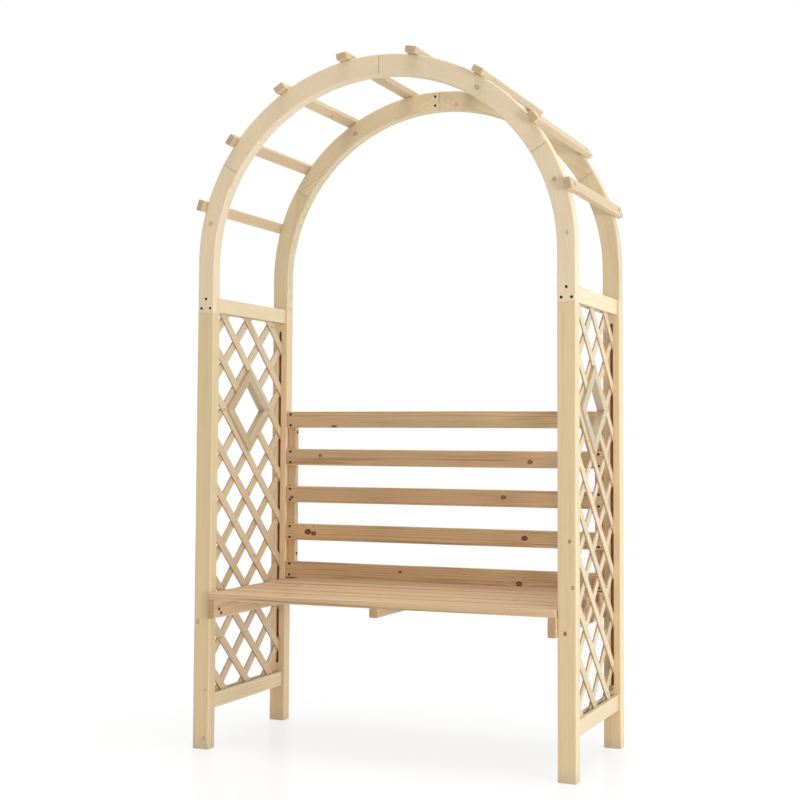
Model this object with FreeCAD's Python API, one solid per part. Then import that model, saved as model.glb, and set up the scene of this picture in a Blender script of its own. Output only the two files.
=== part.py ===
import FreeCAD, Part
import math
import os

from FreeCAD import Vector

# Garden arbour seat: two arched end frames of planed softwood, joined by rungs over the arch,
# two lattice sides, a slatted back and a plank seat.
# Millimetres. X is the width, -Y is the open front, Z is up from the ground.

# Posts and the two frames
frame_width = 1200.0
frame_spacing = 510.0
post_width = 54.0
post_depth = 40.0
edge_easing = 2.0

# Half-lap joint between a post and its arch: its height is that of the arch's shoulder
joint_height = 1323.0
lap_length = 50.0
joint_screw_spread = 30.0
joint_screw_rise = 15.0
joint_screw_drop = 6.0

# Arch: the leg length is straight, from the shoulder up to where the curve starts
arch_leg_length = 147.0
crown_band = 62.0
haunch_past_rung = 14.15
crown_tenon_length = 28.0
crown_tenon_thickness = 14.0
crown_screw_spread = 30.0
haunch_dowel_spread = 28.0

# Rungs over the arches, angles in degrees
rung_count = 8
rung_pitch_angle = 20.9
rung_width = 35.0
rung_thickness = 20.0
rung_overhang = 25.0

# Side rails: the top one is placed by its rise above the arch's shoulder
rail_height = 46.0
rail_thickness = 36.0
lower_rail_top = 162.0
top_rail_rise = 51.0
rail_dowel_spread = 18.0

# Lattice
slat_width = 28.0
slat_thickness = 5.0
diamonds_across = 3
diamond_height = 142.0
post_groove_depth = 12.0
rail_groove_depth = 10.0
groove_clearance = 0.4
groove_end_clearance = 2.0
post_groove_stop = 27.0

# Diamond window in the lattice
window_rows_above_middle = 4
window_limb_width = 28.0
window_limb_thickness = 24.0
window_bite = 6.0

# Seat
seat_top = 472.0
seat_board_count = 6
seat_board_width = 90.0
seat_board_gap = 5.0
seat_board_thickness = 22.0
seat_side_clearance = 1.0
bearer_thickness = 24.0
bearer_height = 56.0
bearer_rounding = 5.0
bearer_screw_slant = 13.0
bearer_screw_drop = 7.0
joist_size = 27.0

# Back, measured up from the seat: the lowest slat's underside and the top slat's upper edge
back_slat_count = 5
back_slat_height = 54.0
back_slat_thickness = 12.0
back_slat_lift = 3.5
back_height = 557.0
batten_width = 30.0
batten_thickness = 22.0
batten_top_drop = 9.0
batten_screw_rise = 82.0
batten_screw_drop = 60.0

# Screws. A bite is what a screw has in the second piece, a cover the wood left beyond its point
screw_head = 9.0
screw_shank = 4.5
screw_head_height = 3.5
screw_head_rim = 0.6
screw_sink = 0.4
recess_width = 5.6
recess_slot = 1.3
recess_depth = 1.2
joint_screw_cover = 6.0
crown_screw_cover = 8.0
rung_screw_bite = 25.0
frame_screw_bite = 26.0
slat_screw_bite = 18.0
board_screw_bite = 21.0
slat_screw_spread = 36.0
board_screw_spread = 54.0

# Dowels and lattice nails
dowel_diameter = 8.0
dowel_length = 36.0
dowel_in_post = 14.0
nail_shank = 1.6
nail_head = 3.6
nail_head_height = 0.8
nail_cover = 0.6
nail_edge_room = 10.0

# How far a cutting shape runs past the face that it cuts
cut_margin = 1.0

# Worked out from the sizes above
half_width = frame_width / 2
post_inner_x = half_width - post_width
post_middle_x = half_width - post_width / 2
frame_middle_y = frame_spacing / 2
half_depth = frame_middle_y + post_depth / 2
post_inner_y = frame_middle_y - post_depth / 2
post_top = joint_height + lap_length
arch_springing = joint_height + arch_leg_length
arch_inner_radius = post_inner_x
arch_outer_radius = half_width
arch_outer_centre = arch_springing + arch_inner_radius + crown_band - arch_outer_radius
first_rung_angle = 90 - rung_pitch_angle * (rung_count - 1) / 2
haunch_angle = first_rung_angle + haunch_past_rung
rung_seat_radius = math.sqrt(arch_outer_radius ** 2 - (rung_width / 2) ** 2)
top_rail_top = joint_height + top_rail_rise
top_rail_bottom = top_rail_top - rail_height
groove_width = 2 * slat_thickness + groove_clearance
groove_low = lower_rail_top + post_groove_stop
groove_high = top_rail_bottom - post_groove_stop
seat_underside = seat_top - seat_board_thickness
seat_board_pitch = seat_board_width + seat_board_gap
seat_depth = seat_board_count * seat_board_pitch - seat_board_gap
seat_front = half_depth - seat_depth
back_face = post_inner_y + back_slat_thickness
back_top = seat_top + back_height
batten_top = back_top - batten_top_drop
back_slat_pitch = (back_height - back_slat_lift - back_slat_height) / (back_slat_count - 1)
half_pitch_y = post_inner_y / diamonds_across
half_pitch_z = diamond_height / 2
lattice_middle = (lower_rail_top + top_rail_bottom) / 2
lattice_half_height = (top_rail_bottom - lower_rail_top) / 2
slat_angle = math.atan2(half_pitch_z, half_pitch_y)
window_middle = lattice_middle + window_rows_above_middle * half_pitch_z
bounding_slat_edge = 2 * half_pitch_z * math.cos(slat_angle) - slat_width / 2
window_outer = bounding_slat_edge + window_bite
window_inner = window_outer - window_limb_width
joint_screw_length = post_depth - joint_screw_cover
crown_screw_length = post_depth - crown_screw_cover
rung_screw_length = rung_thickness + rung_screw_bite
frame_screw_length = bearer_thickness + frame_screw_bite
slat_screw_length = back_slat_thickness + slat_screw_bite
board_screw_length = seat_board_thickness + board_screw_bite
nail_length = 2 * slat_thickness - nail_cover

side_names = {-1: "left", 1: "right"}
end_names = {-1: "front", 1: "rear"}


def box(x_range, y_range, z_range):
    """Plain block between three pairs of coordinates, given in any order."""
    low = Vector(min(x_range), min(y_range), min(z_range))
    high = Vector(max(x_range), max(y_range), max(z_range))
    size = high - low
    return Part.makeBox(size.x, size.y, size.z, low)


def eased_box(x_range, y_range, z_range, easing=edge_easing):
    """Block with all its edges planed off."""
    block = box(x_range, y_range, z_range)
    return block.makeChamfer(easing, block.Edges)


def prism(points, x_middle, thickness):
    """Flat piece in a side panel: an outline of (y, z) points, made thick along X."""
    start = x_middle - thickness / 2
    corners = [Vector(start, y, z) for y, z in points]
    outline = Part.makePolygon(corners + corners[:1])
    return Part.Face(outline).extrude(Vector(thickness, 0, 0))


def arch_prism(points, y_range):
    """Flat piece in an end frame: an outline of (x, z) points, made thick along Y."""
    start = min(y_range)
    corners = [Vector(x, start, z) for x, z in points]
    outline = Part.makePolygon(corners + corners[:1])
    return Part.Face(outline).extrude(Vector(0, max(y_range) - start, 0))


def cylinder(diameter, length, start, direction):
    return Part.makeCylinder(diameter / 2, length, start, direction)


def turned(profile):
    """Solid turned about the Z axis from (radius, z) points."""
    corners = [Vector(radius, 0, z) for radius, z in profile]
    outline = Part.makePolygon(corners + corners[:1])
    return Part.Face(outline).revolve(Vector(0, 0, 0), Vector(0, 0, 1), 360)


def screw_profile(length):
    """Countersunk wood screw pointing down, its head's top at z = 0."""
    head = screw_head / 2
    shank = screw_shank / 2
    point = screw_shank
    return [(0, 0), (head, 0), (head, -screw_head_rim), (shank, -screw_head_height),
            (shank, point - length), (0, -length)]


def screw(length):
    """Screw with a cross recess in its head."""
    body = turned(screw_profile(length))
    wide = (-recess_width / 2, recess_width / 2)
    narrow = (-recess_slot / 2, recess_slot / 2)
    deep = (-recess_depth, cut_margin)
    return body.cut(box(wide, narrow, deep)).cut(box(narrow, wide, deep))


def screw_hole(length):
    """The room that a screw takes in the wood, open above its sunk head."""
    head = screw_head / 2
    above = screw_sink + cut_margin
    return turned([(0, above), (head, above)] + screw_profile(length)[1:])


def placed(shape, point, direction):
    """Copy of a shape that points down, moved to a point and turned to a direction."""
    copy = shape.copy()
    copy.Placement = FreeCAD.Placement(point, FreeCAD.Rotation(Vector(0, 0, -1), direction))
    return copy


def sunk(points_and_directions):
    """Move screw positions on a surface down to where the sunk heads' tops are."""
    return [(point + direction * screw_sink, direction) for point, direction in points_and_directions]


def screw_group(length, positions):
    pattern = screw(length)
    return [placed(pattern, point, direction) for point, direction in sunk(positions)]


def hole_group(length, positions):
    pattern = screw_hole(length)
    return [placed(pattern, point, direction) for point, direction in sunk(positions)]


def cut_all(shape, tools):
    """Cut the tools that reach the shape."""
    near = [tool for tool in tools if tool.BoundBox.intersect(shape.BoundBox)]
    if near:
        shape = shape.cut(Part.makeCompound(near))
    return shape.Solids[0]


def arch_direction(angle):
    """Unit vector at an angle above the +X side."""
    return Vector(math.cos(math.radians(angle)), 0, math.sin(math.radians(angle)))


def arch_point(angle, radius, y, centre_height):
    return Vector(0, y, centre_height) + arch_direction(angle) * radius


# Where the fasteners go

def joint_screw_positions(end):
    """Three screws in a triangle on the outer face of each half-lap joint."""
    positions = []
    for side in (-1, 1):
        for shift, height in ((-joint_screw_spread / 2, joint_height + joint_screw_rise),
                              (joint_screw_spread / 2, joint_height + joint_screw_rise),
                              (0, post_top - joint_screw_drop)):
            point = Vector(side * post_middle_x + shift, end * half_depth, height)
            positions.append((point, Vector(0, -end, 0)))
    return positions


def crown_screw_positions(end):
    """Two screws through the left crown piece that pin the tenon of the right one."""
    middle = arch_springing + arch_inner_radius + crown_band / 2
    face = end * post_inner_y
    return [(Vector(-crown_tenon_length / 2, face, middle + shift), Vector(0, end, 0))
            for shift in (-crown_screw_spread / 2, crown_screw_spread / 2)]


def rung_angles():
    """Angles of the rungs above the +X side, from right to left."""
    return [first_rung_angle + number * rung_pitch_angle for number in range(rung_count)]


def rung_screw_positions(angle):
    outer = rung_seat_radius + rung_thickness
    return [(arch_point(angle, outer, end * frame_middle_y, arch_outer_centre),
             -arch_direction(angle)) for end in (-1, 1)]


def slat_middle_height(number):
    """Middle of a back slat, counted from the top."""
    return back_top - back_slat_height / 2 - number * back_slat_pitch


def back_slat_screw_positions(number):
    positions = []
    batten_middle = post_inner_x - batten_width / 2
    for side in (-1, 1):
        for shift in (-slat_screw_spread / 2, slat_screw_spread / 2):
            point = Vector(side * batten_middle, post_inner_y, slat_middle_height(number) + shift)
            positions.append((point, Vector(0, 1, 0)))
    return positions


def batten_screw_positions(side):
    y = back_face + batten_thickness / 2
    inner = side * (post_inner_x - batten_width)
    return [(Vector(inner, y, height), Vector(side, 0, 0))
            for height in (seat_top + batten_screw_rise, batten_top - batten_screw_drop)]


def bearer_screw_positions(side):
    """Two screws on a slant at each post, a little below the bearer's middle."""
    positions = []
    inner = side * (post_inner_x - bearer_thickness)
    middle = seat_underside - bearer_height / 2 - bearer_screw_drop
    for end in (-1, 1):
        for shift in (-bearer_screw_slant / 2, bearer_screw_slant / 2):
            point = Vector(inner, end * frame_middle_y + shift, middle - shift)
            positions.append((point, Vector(side, 0, 0)))
    return positions


def board_middle(number):
    """Middle of a seat board along Y, counted from the front."""
    return seat_front + seat_board_width / 2 + number * seat_board_pitch


def board_screw_positions(number):
    bearer_middle = post_inner_x - bearer_thickness / 2
    positions = []
    for x in (-bearer_middle, 0, bearer_middle):
        for shift in (-board_screw_spread / 2, board_screw_spread / 2):
            point = Vector(x, board_middle(number) + shift, seat_top)
            positions.append((point, Vector(0, 0, -1)))
    return positions


def dowels_from(start_points, direction, depth):
    """Dowels that start at a depth inside one piece and run on into the next."""
    return [cylinder(dowel_diameter, dowel_length, point - direction * depth, direction)
            for point in start_points]


def rail_dowels(side):
    """Two dowels in each end of both rails of a side."""
    dowels = []
    for top in (lower_rail_top, top_rail_top):
        for end in (-1, 1):
            points = [Vector(side * post_middle_x + shift, end * post_inner_y, top - rail_height / 2)
                      for shift in (-rail_dowel_spread / 2, rail_dowel_spread / 2)]
            dowels += dowels_from(points, Vector(0, -end, 0), dowel_in_post)
    return dowels


def haunch_dowels(end):
    """Two dowels across each haunch seam of an arch."""
    dowels = []
    middle = arch_inner_radius + post_width / 2
    for angle in (haunch_angle, 180 - haunch_angle):
        points = [arch_point(angle, middle + shift, end * frame_middle_y, arch_springing)
                  for shift in (-haunch_dowel_spread / 2, haunch_dowel_spread / 2)]
        along = arch_direction(angle + 90)
        dowels += dowels_from(points, along, dowel_length / 2)
    return dowels


# Posts

def post_groove(side, end):
    """Stopped groove with round ends that takes the lattice slats."""
    x = side * post_middle_x
    radius = groove_width / 2
    mouth = end * (post_inner_y - cut_margin)
    floor = end * (post_inner_y + post_groove_depth)
    slot = box((x - radius, x + radius), (mouth, floor), (groove_low + radius, groove_high - radius))
    for height in (groove_low + radius, groove_high - radius):
        round_end = cylinder(groove_width, post_groove_depth + cut_margin,
                             Vector(x, mouth, height), Vector(0, end, 0))
        slot = slot.fuse(round_end)
    return slot


def post(side, end):
    x = side * post_middle_x
    y = end * frame_middle_y
    body = eased_box((x - post_width / 2, x + post_width / 2),
                     (y - post_depth / 2, y + post_depth / 2), (0, post_top))
    lap = box((x - post_width, x + post_width), (y, y + end * post_depth),
              (joint_height, post_top + cut_margin))
    tools = [lap, post_groove(side, end)] + rail_dowels(side)
    tools += hole_group(joint_screw_length, joint_screw_positions(end))
    tools += hole_group(frame_screw_length, bearer_screw_positions(side))
    if end > 0:
        tools += hole_group(frame_screw_length, batten_screw_positions(side))
    return cut_all(body, tools)


# Arches

def arch_outline(y):
    """Closed band: straight legs, a half-round inner edge and a half-round outer edge."""
    def at(x, z):
        return Vector(x, y, z)

    inner_top = arch_springing + arch_inner_radius
    outer_top = arch_outer_centre + arch_outer_radius
    outer = half_width
    inner = post_inner_x
    edges = [
        Part.makeLine(at(-outer, joint_height), at(-outer, arch_outer_centre)),
        Part.Arc(at(-outer, arch_outer_centre), at(0, outer_top), at(outer, arch_outer_centre)).toShape(),
        Part.makeLine(at(outer, arch_outer_centre), at(outer, joint_height)),
        Part.makeLine(at(outer, joint_height), at(inner, joint_height)),
        Part.makeLine(at(inner, joint_height), at(inner, arch_springing)),
        Part.Arc(at(inner, arch_springing), at(0, inner_top), at(-inner, arch_springing)).toShape(),
        Part.makeLine(at(-inner, arch_springing), at(-inner, joint_height)),
        Part.makeLine(at(-inner, joint_height), at(-outer, joint_height)),
    ]
    return Part.Face(Part.Wire(edges))


def arch_blank(end):
    """The whole arch in one piece, with its long edges eased and its feet halved."""
    y = end * frame_middle_y
    face = arch_outline(y - post_depth / 2)
    band = face.extrude(Vector(0, post_depth, 0))
    long_edges = [edge for edge in band.Edges
                  if edge.BoundBox.YLength < edge_easing and edge.BoundBox.ZLength > edge_easing]
    band = band.makeChamfer(edge_easing, long_edges)
    lap = box((-frame_width, frame_width), (y, y - end * post_depth),
              (joint_height - cut_margin, post_top))
    return band.cut(lap)


def sector(start_angle, end_angle, y_range):
    """Wedge between two angles about the springing centre, with legs below if it starts at -90."""
    reach = frame_width
    points = [(0, arch_springing)]
    for angle in (start_angle, end_angle):
        direction = arch_direction(angle)
        points.append((direction.x * reach, arch_springing + direction.z * reach))
    if start_angle < 0 or end_angle > 180:
        side = 1 if start_angle < 0 else -1
        level = arch_springing - reach
        corner = (side * reach, level)
        points.insert(2, corner)
    return arch_prism(points, y_range)


def rung_blank(angle, easing):
    """A rung lying on its flat over both arches."""
    height = arch_outer_centre + rung_seat_radius
    half_length = half_depth + rung_overhang
    block = box((-rung_width / 2, rung_width / 2), (-half_length, half_length),
                (height, height + rung_thickness))
    if easing:
        block = block.makeChamfer(easing, block.Edges)
    block.rotate(Vector(0, 0, arch_outer_centre), Vector(0, 1, 0), 90 - angle)
    return block


def arch_pieces(end):
    """Four pieces of an arch: two legs with haunches and two crown pieces."""
    y = end * frame_middle_y
    y_range = (y - post_depth, y + post_depth)
    blank = arch_blank(end)
    tenon_room = box((-crown_tenon_length, 0),
                     (y - crown_tenon_thickness / 2, y + crown_tenon_thickness / 2),
                     (arch_springing, arch_springing + frame_width))
    tenon = blank.common(tenon_room)
    right_leg = blank.common(sector(-90, haunch_angle, y_range))
    right_crown = blank.common(sector(haunch_angle, 90, y_range)).fuse(tenon)
    left_crown = blank.common(sector(90, 180 - haunch_angle, y_range)).cut(tenon_room)
    left_leg = blank.common(sector(180 - haunch_angle, 270, y_range))
    tools = haunch_dowels(end)
    tools += hole_group(joint_screw_length, joint_screw_positions(end))
    tools += hole_group(crown_screw_length, crown_screw_positions(end))
    for angle in rung_angles():
        tools.append(rung_blank(angle, 0))
        tools += hole_group(rung_screw_length, rung_screw_positions(angle))
    name = end_names[end] + "_arch_"
    return {
        name + "right_leg": cut_all(right_leg.removeSplitter(), tools),
        name + "right_crown": cut_all(right_crown.removeSplitter(), tools),
        name + "left_crown": cut_all(left_crown.removeSplitter(), tools),
        name + "left_leg": cut_all(left_leg.removeSplitter(), tools),
    }


def rung(angle):
    return cut_all(rung_blank(angle, edge_easing),
                   hole_group(rung_screw_length, rung_screw_positions(angle)))


# Side panels

def side_rail(side, top, groove_level):
    """Rail between two posts, grooved on the edge that faces the lattice."""
    x = side * post_middle_x
    body = eased_box((x - rail_thickness / 2, x + rail_thickness / 2),
                     (-post_inner_y, post_inner_y), (top - rail_height, top))
    outward = 1 if groove_level == top else -1
    groove = box((x - groove_width / 2, x + groove_width / 2),
                 (-post_inner_y - cut_margin, post_inner_y + cut_margin),
                 (groove_level + outward * cut_margin, groove_level - outward * rail_groove_depth))
    return cut_all(body, [groove] + rail_dowels(side))


def slat_strip(line, rising):
    """Outline of one slat as a long strip: line counts the half pitches off the middle."""
    slope = 1 if rising else -1
    along = Vector(0, math.cos(slat_angle), slope * math.sin(slat_angle))
    across = Vector(0, -along.z, along.y) * (slat_width / 2)
    reach = along * (2 * top_rail_top)
    middle = Vector(0, 0, lattice_middle + line * half_pitch_z)
    corners = [middle - reach - across, middle + reach - across,
               middle + reach + across, middle - reach + across]
    return [(corner.y, corner.z) for corner in corners]


def diamond(distance):
    """Corners of a diamond about the window's middle whose sides lie at a distance from it."""
    tall = distance / math.cos(slat_angle)
    wide = distance / math.sin(slat_angle)
    return [(0, window_middle + tall), (wide, window_middle),
            (0, window_middle - tall), (-wide, window_middle)]


def nail_points():
    """Crossings of the slats that are clear of the rails and the window, as (y, z)."""
    points = []
    last_row = int((lattice_half_height - nail_edge_room) / half_pitch_z)
    for row in range(-last_row, last_row + 1):
        for column in range(1 - diamonds_across, diamonds_across):
            in_window = row == window_rows_above_middle and column == 0
            if (row + column) % 2 == 0 and not in_window:
                points.append((column * half_pitch_y, lattice_middle + row * half_pitch_z))
    return points


def nail_profile():
    shank = nail_shank / 2
    head = nail_head / 2
    return [(0, 0), (head, 0), (head, -nail_head_height), (shank, -nail_head_height),
            (shank, -nail_length), (0, -nail_length)]


def nails(side):
    """Nails driven from the right-hand face of the lattice, their heads flush."""
    pattern = turned(nail_profile())
    face = side * post_middle_x + slat_thickness
    return [placed(pattern, Vector(face, y, z), Vector(-1, 0, 0)) for y, z in nail_points()]


def slat_room(x):
    """The room that the slats may fill: between posts and rails, and into their grooves."""
    wide = (x - slat_thickness, x + slat_thickness)
    into_rails = rail_groove_depth - groove_end_clearance
    into_posts = post_inner_y + post_groove_depth - groove_end_clearance
    between = box(wide, (-post_inner_y, post_inner_y),
                  (lower_rail_top - into_rails, top_rail_bottom + into_rails))
    in_grooves = box(wide, (-into_posts, into_posts),
                     (groove_low + groove_width / 2, groove_high - groove_width / 2))
    return between.fuse(in_grooves)


def lattice_layer(side, rising):
    """All the slats of one slope, cut to run into the grooves, on one side of the middle plane."""
    layer = -1 if rising else 1
    x = side * post_middle_x + layer * slat_thickness / 2
    room = slat_room(x)
    opening = prism(diamond(bounding_slat_edge), x, 2 * slat_thickness)
    driven = nails(side)
    last_pair = math.ceil((diamonds_across + lattice_half_height / half_pitch_z) / 2)
    slats = []
    for pair in range(-last_pair, last_pair + 1):
        line = 2 * pair
        slat = prism(slat_strip(line, rising), x, slat_thickness).common(room).removeSplitter()
        if line == window_rows_above_middle:
            slat = slat.cut(opening)
        long_pieces = [piece for piece in slat.Solids if piece.BoundBox.ZLength > slat_width]
        slats += [cut_all(piece, driven) for piece in long_pieces]
    return slats


def window_limb(side, corner):
    """One mitred side of the diamond window, grooved on its outer edge."""
    x = side * post_middle_x
    groove_floor = bounding_slat_edge - groove_end_clearance / 2
    outer = diamond(window_outer)
    inner = diamond(window_inner)
    floor = diamond(groove_floor)
    following = (corner + 1) % 4
    limb = prism([outer[corner], outer[following], inner[following], inner[corner]],
                 x, window_limb_thickness)
    groove = prism([outer[corner], outer[following], floor[following], floor[corner]],
                   x, groove_width)
    return limb.cut(groove).Solids[0]


# Seat and back

def seat_board(number):
    middle = board_middle(number)
    reach = post_inner_x - seat_side_clearance
    body = eased_box((-reach, reach), (middle - seat_board_width / 2, middle + seat_board_width / 2),
                     (seat_underside, seat_top))
    return cut_all(body, hole_group(board_screw_length, board_screw_positions(number)))


def all_board_holes():
    holes = []
    for number in range(seat_board_count):
        holes += hole_group(board_screw_length, board_screw_positions(number))
    return holes


def seat_bearer(side):
    outer = side * post_inner_x
    inner = side * (post_inner_x - bearer_thickness)
    body = box((outer, inner), (seat_front, half_depth), (seat_underside - bearer_height, seat_underside))
    lower_inner = [edge for edge in body.Edges
                   if edge.BoundBox.YLength > post_depth
                   and abs(edge.BoundBox.XMax - inner) < cut_margin
                   and edge.BoundBox.ZMax < seat_underside - cut_margin]
    body = body.makeFillet(bearer_rounding, lower_inner)
    tools = all_board_holes() + hole_group(frame_screw_length, bearer_screw_positions(side))
    return cut_all(body, tools)


def seat_joist():
    body = eased_box((-joist_size / 2, joist_size / 2), (seat_front, half_depth),
                     (seat_underside - joist_size, seat_underside))
    return cut_all(body, all_board_holes())


def back_slat(number):
    middle = slat_middle_height(number)
    reach = post_inner_x - seat_side_clearance
    body = eased_box((-reach, reach), (post_inner_y, back_face),
                     (middle - back_slat_height / 2, middle + back_slat_height / 2))
    return cut_all(body, hole_group(slat_screw_length, back_slat_screw_positions(number)))


def back_batten(side):
    outer = side * post_inner_x
    inner = side * (post_inner_x - batten_width)
    body = eased_box((outer, inner), (back_face, back_face + batten_thickness), (seat_top, batten_top))
    tools = hole_group(frame_screw_length, batten_screw_positions(side))
    for number in range(back_slat_count):
        tools += hole_group(slat_screw_length, back_slat_screw_positions(number))
    return cut_all(body, tools)


# Everything, by name

def fastener_nodes():
    crown = []
    joint = []
    haunch = []
    for end in (-1, 1):
        joint += screw_group(joint_screw_length, joint_screw_positions(end))
        crown += screw_group(crown_screw_length, crown_screw_positions(end))
        haunch += haunch_dowels(end)
    rungs = []
    for angle in rung_angles():
        rungs += screw_group(rung_screw_length, rung_screw_positions(angle))
    frame = []
    dowels = list(haunch)
    lattice = []
    for side in (-1, 1):
        frame += screw_group(frame_screw_length, bearer_screw_positions(side))
        frame += screw_group(frame_screw_length, batten_screw_positions(side))
        dowels += rail_dowels(side)
        lattice += nails(side)
    boards = []
    for number in range(seat_board_count):
        boards += screw_group(board_screw_length, board_screw_positions(number))
    backs = []
    for number in range(back_slat_count):
        backs += screw_group(slat_screw_length, back_slat_screw_positions(number))
    return {
        "arch_joint_screws": joint,
        "arch_crown_screws": crown,
        "arch_rung_screws": rungs,
        "bearer_and_batten_screws": frame,
        "seat_board_screws": boards,
        "back_slat_screws": backs,
        "wooden_dowels": dowels,
        "lattice_nails": lattice,
    }


def all_nodes():
    nodes = {}
    for end in (-1, 1):
        for side in (-1, 1):
            nodes[end_names[end] + "_" + side_names[side] + "_post"] = post(side, end)
        nodes.update(arch_pieces(end))
    for number, angle in enumerate(reversed(rung_angles()), 1):
        nodes["arch_rung_" + str(number)] = rung(angle)
    corner_names = ("upper_rear", "lower_rear", "lower_front", "upper_front")
    for side in (-1, 1):
        name = side_names[side] + "_"
        nodes[name + "top_rail"] = side_rail(side, top_rail_top, top_rail_bottom)
        nodes[name + "lower_rail"] = side_rail(side, lower_rail_top, lower_rail_top)
        nodes[name + "lattice_rising_slats"] = lattice_layer(side, True)
        nodes[name + "lattice_falling_slats"] = lattice_layer(side, False)
        for corner, corner_name in enumerate(corner_names):
            nodes[name + "window_" + corner_name] = window_limb(side, corner)
        nodes[name + "back_batten"] = back_batten(side)
        nodes[name + "seat_bearer"] = seat_bearer(side)
    nodes["seat_joist"] = seat_joist()
    for number in range(seat_board_count):
        nodes["seat_board_" + str(number + 1)] = seat_board(number)
    for number in range(back_slat_count):
        nodes["back_slat_" + str(number + 1)] = back_slat(number)
    nodes.update(fastener_nodes())
    return nodes


def write_nodes(nodes):
    os.makedirs("parts", exist_ok=True)
    for name, made in nodes.items():
        shape = Part.makeCompound(made) if isinstance(made, list) else made
        count = len(shape.Solids)
        print(f"{name}: {count} solids, {shape.Volume / 1000:.1f} cm3, valid {shape.isValid()}")
        shape.exportStep("parts/" + name + ".step")


write_nodes(all_nodes())
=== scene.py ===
import math

import bmesh
import bpy
import numpy as np
from mathutils import Matrix, Vector


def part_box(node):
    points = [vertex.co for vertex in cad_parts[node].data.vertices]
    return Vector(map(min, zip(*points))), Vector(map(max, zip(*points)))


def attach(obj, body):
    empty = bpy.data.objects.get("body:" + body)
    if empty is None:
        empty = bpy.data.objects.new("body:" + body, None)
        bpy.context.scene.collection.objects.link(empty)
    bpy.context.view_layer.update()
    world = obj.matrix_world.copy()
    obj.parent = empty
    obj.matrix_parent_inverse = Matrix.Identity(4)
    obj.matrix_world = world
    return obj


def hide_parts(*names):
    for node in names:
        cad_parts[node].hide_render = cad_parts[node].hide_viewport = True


# Garden arbour seat in planed softwood. Metres; X is the width, -Y the open front, Z is up.

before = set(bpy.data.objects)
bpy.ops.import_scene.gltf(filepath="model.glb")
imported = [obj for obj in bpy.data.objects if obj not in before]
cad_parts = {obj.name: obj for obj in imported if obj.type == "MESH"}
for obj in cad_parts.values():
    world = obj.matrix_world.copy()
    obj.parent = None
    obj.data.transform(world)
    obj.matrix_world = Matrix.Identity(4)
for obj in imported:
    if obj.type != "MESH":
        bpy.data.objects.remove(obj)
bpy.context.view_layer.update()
print("frame loaded,", len(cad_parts), "nodes")


# Small helpers for meshes

def unit(vector):
    return np.array(vector, float) / np.linalg.norm(vector)


def nodeBox(name):
    low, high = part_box(name)
    return np.array(low), np.array(high)


def nodeMiddle(name):
    low, high = nodeBox(name)
    return (low + high) / 2


# A ring is a rounded rectangle, v across and w through the member. Each corner is a quarter circle of the
# radius, with a point on the flat at each side of it, and the +w face may have a groove. The third array
# says where a point lies: 1 on a rounded corner, 0 on a flat, -1 on the groove's floor.
ringLook = {"cornerSteps": 4, "flatMargin": 0.004}


def ringPoints(halfWide, halfDeep, rounding, grooveHalf=None, grooveDeep=None, corners=(1, 1, 1, 1)):
    turns = np.linspace(0, math.pi / 2, ringLook["cornerSteps"] + 1)
    v, w, edge = [], [], []

    def put(pointV, pointW, near):
        v.append(pointV)
        w.append(pointW)
        edge.append(near)

    for corner in range(4):
        signV = 1 if corner in (0, 3) else -1
        signW = 1 if corner in (0, 1) else -1
        radius = rounding * corners[corner]
        margin = np.minimum(ringLook["flatMargin"], 0.5 * (np.minimum(halfWide, halfDeep) - radius))
        middleV, middleW = signV * (halfWide - radius), signW * (halfDeep - radius)
        upright = corner in (0, 2)      # the corner is reached along a face that runs along w
        if upright:
            put(signV * halfWide, middleW - signW * margin, 0.0)
        else:
            put(middleV - signV * margin, signW * halfDeep, 0.0)
        for turn in turns + corner * math.pi / 2:
            put(middleV + radius * math.cos(turn), middleW + radius * math.sin(turn), 1.0)
        if upright:
            put(middleV - signV * margin, signW * halfDeep, 0.0)
        else:
            put(signV * halfWide, middleW - signW * margin, 0.0)
        if corner == 0 and grooveHalf is not None:
            for side, depth in ((1, 0), (1, 1), (-1, 1), (-1, 0)):
                put(side * grooveHalf, halfDeep - depth * grooveDeep, -float(depth))
    return np.stack(v, axis=1), np.stack(w, axis=1), np.array(edge)


def meshFromRings(name, points):
    # points is stations x ring x 3: quads between neighbouring rings, and a flat cap on each end
    stations, count, _ = points.shape
    index = np.arange(stations * count).reshape(stations, count)
    after = np.roll(index, -1, axis=1)
    quads = np.stack([index[:-1], after[:-1], after[1:], index[1:]], axis=-1).reshape(-1, 4)
    faces = quads.tolist() + [index[0][::-1].tolist(), index[-1].tolist()]
    mesh = bpy.data.meshes.new(name)
    mesh.from_pydata(points.reshape(-1, 3).tolist(), [], faces)
    return mesh


def writeField(mesh, name, kind, values):
    field = mesh.attributes.new(name, kind, "POINT")
    key = "vector" if kind == "FLOAT_VECTOR" else "value"
    field.data.foreach_set(key, np.asarray(values, np.float32).ravel())


def finishMesh(mesh, weld=2e-6, sharpAngle=math.radians(35)):
    work = bmesh.new()
    work.from_mesh(mesh)
    bmesh.ops.remove_doubles(work, verts=work.verts, dist=weld)
    bmesh.ops.dissolve_degenerate(work, edges=work.edges, dist=weld)
    work.to_mesh(mesh)
    work.free()
    mesh.polygons.foreach_set("use_smooth", [True] * len(mesh.polygons))
    mesh.set_sharp_from_angle(angle=sharpAngle)


def addPiece(mesh, nodes, material):
    piece = bpy.data.objects.new(mesh.name, mesh)
    bpy.context.scene.collection.objects.link(piece)
    mesh.materials.clear()
    mesh.materials.append(material)
    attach(piece, "root")
    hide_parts(*nodes)
    return piece


# Wooden members

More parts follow.
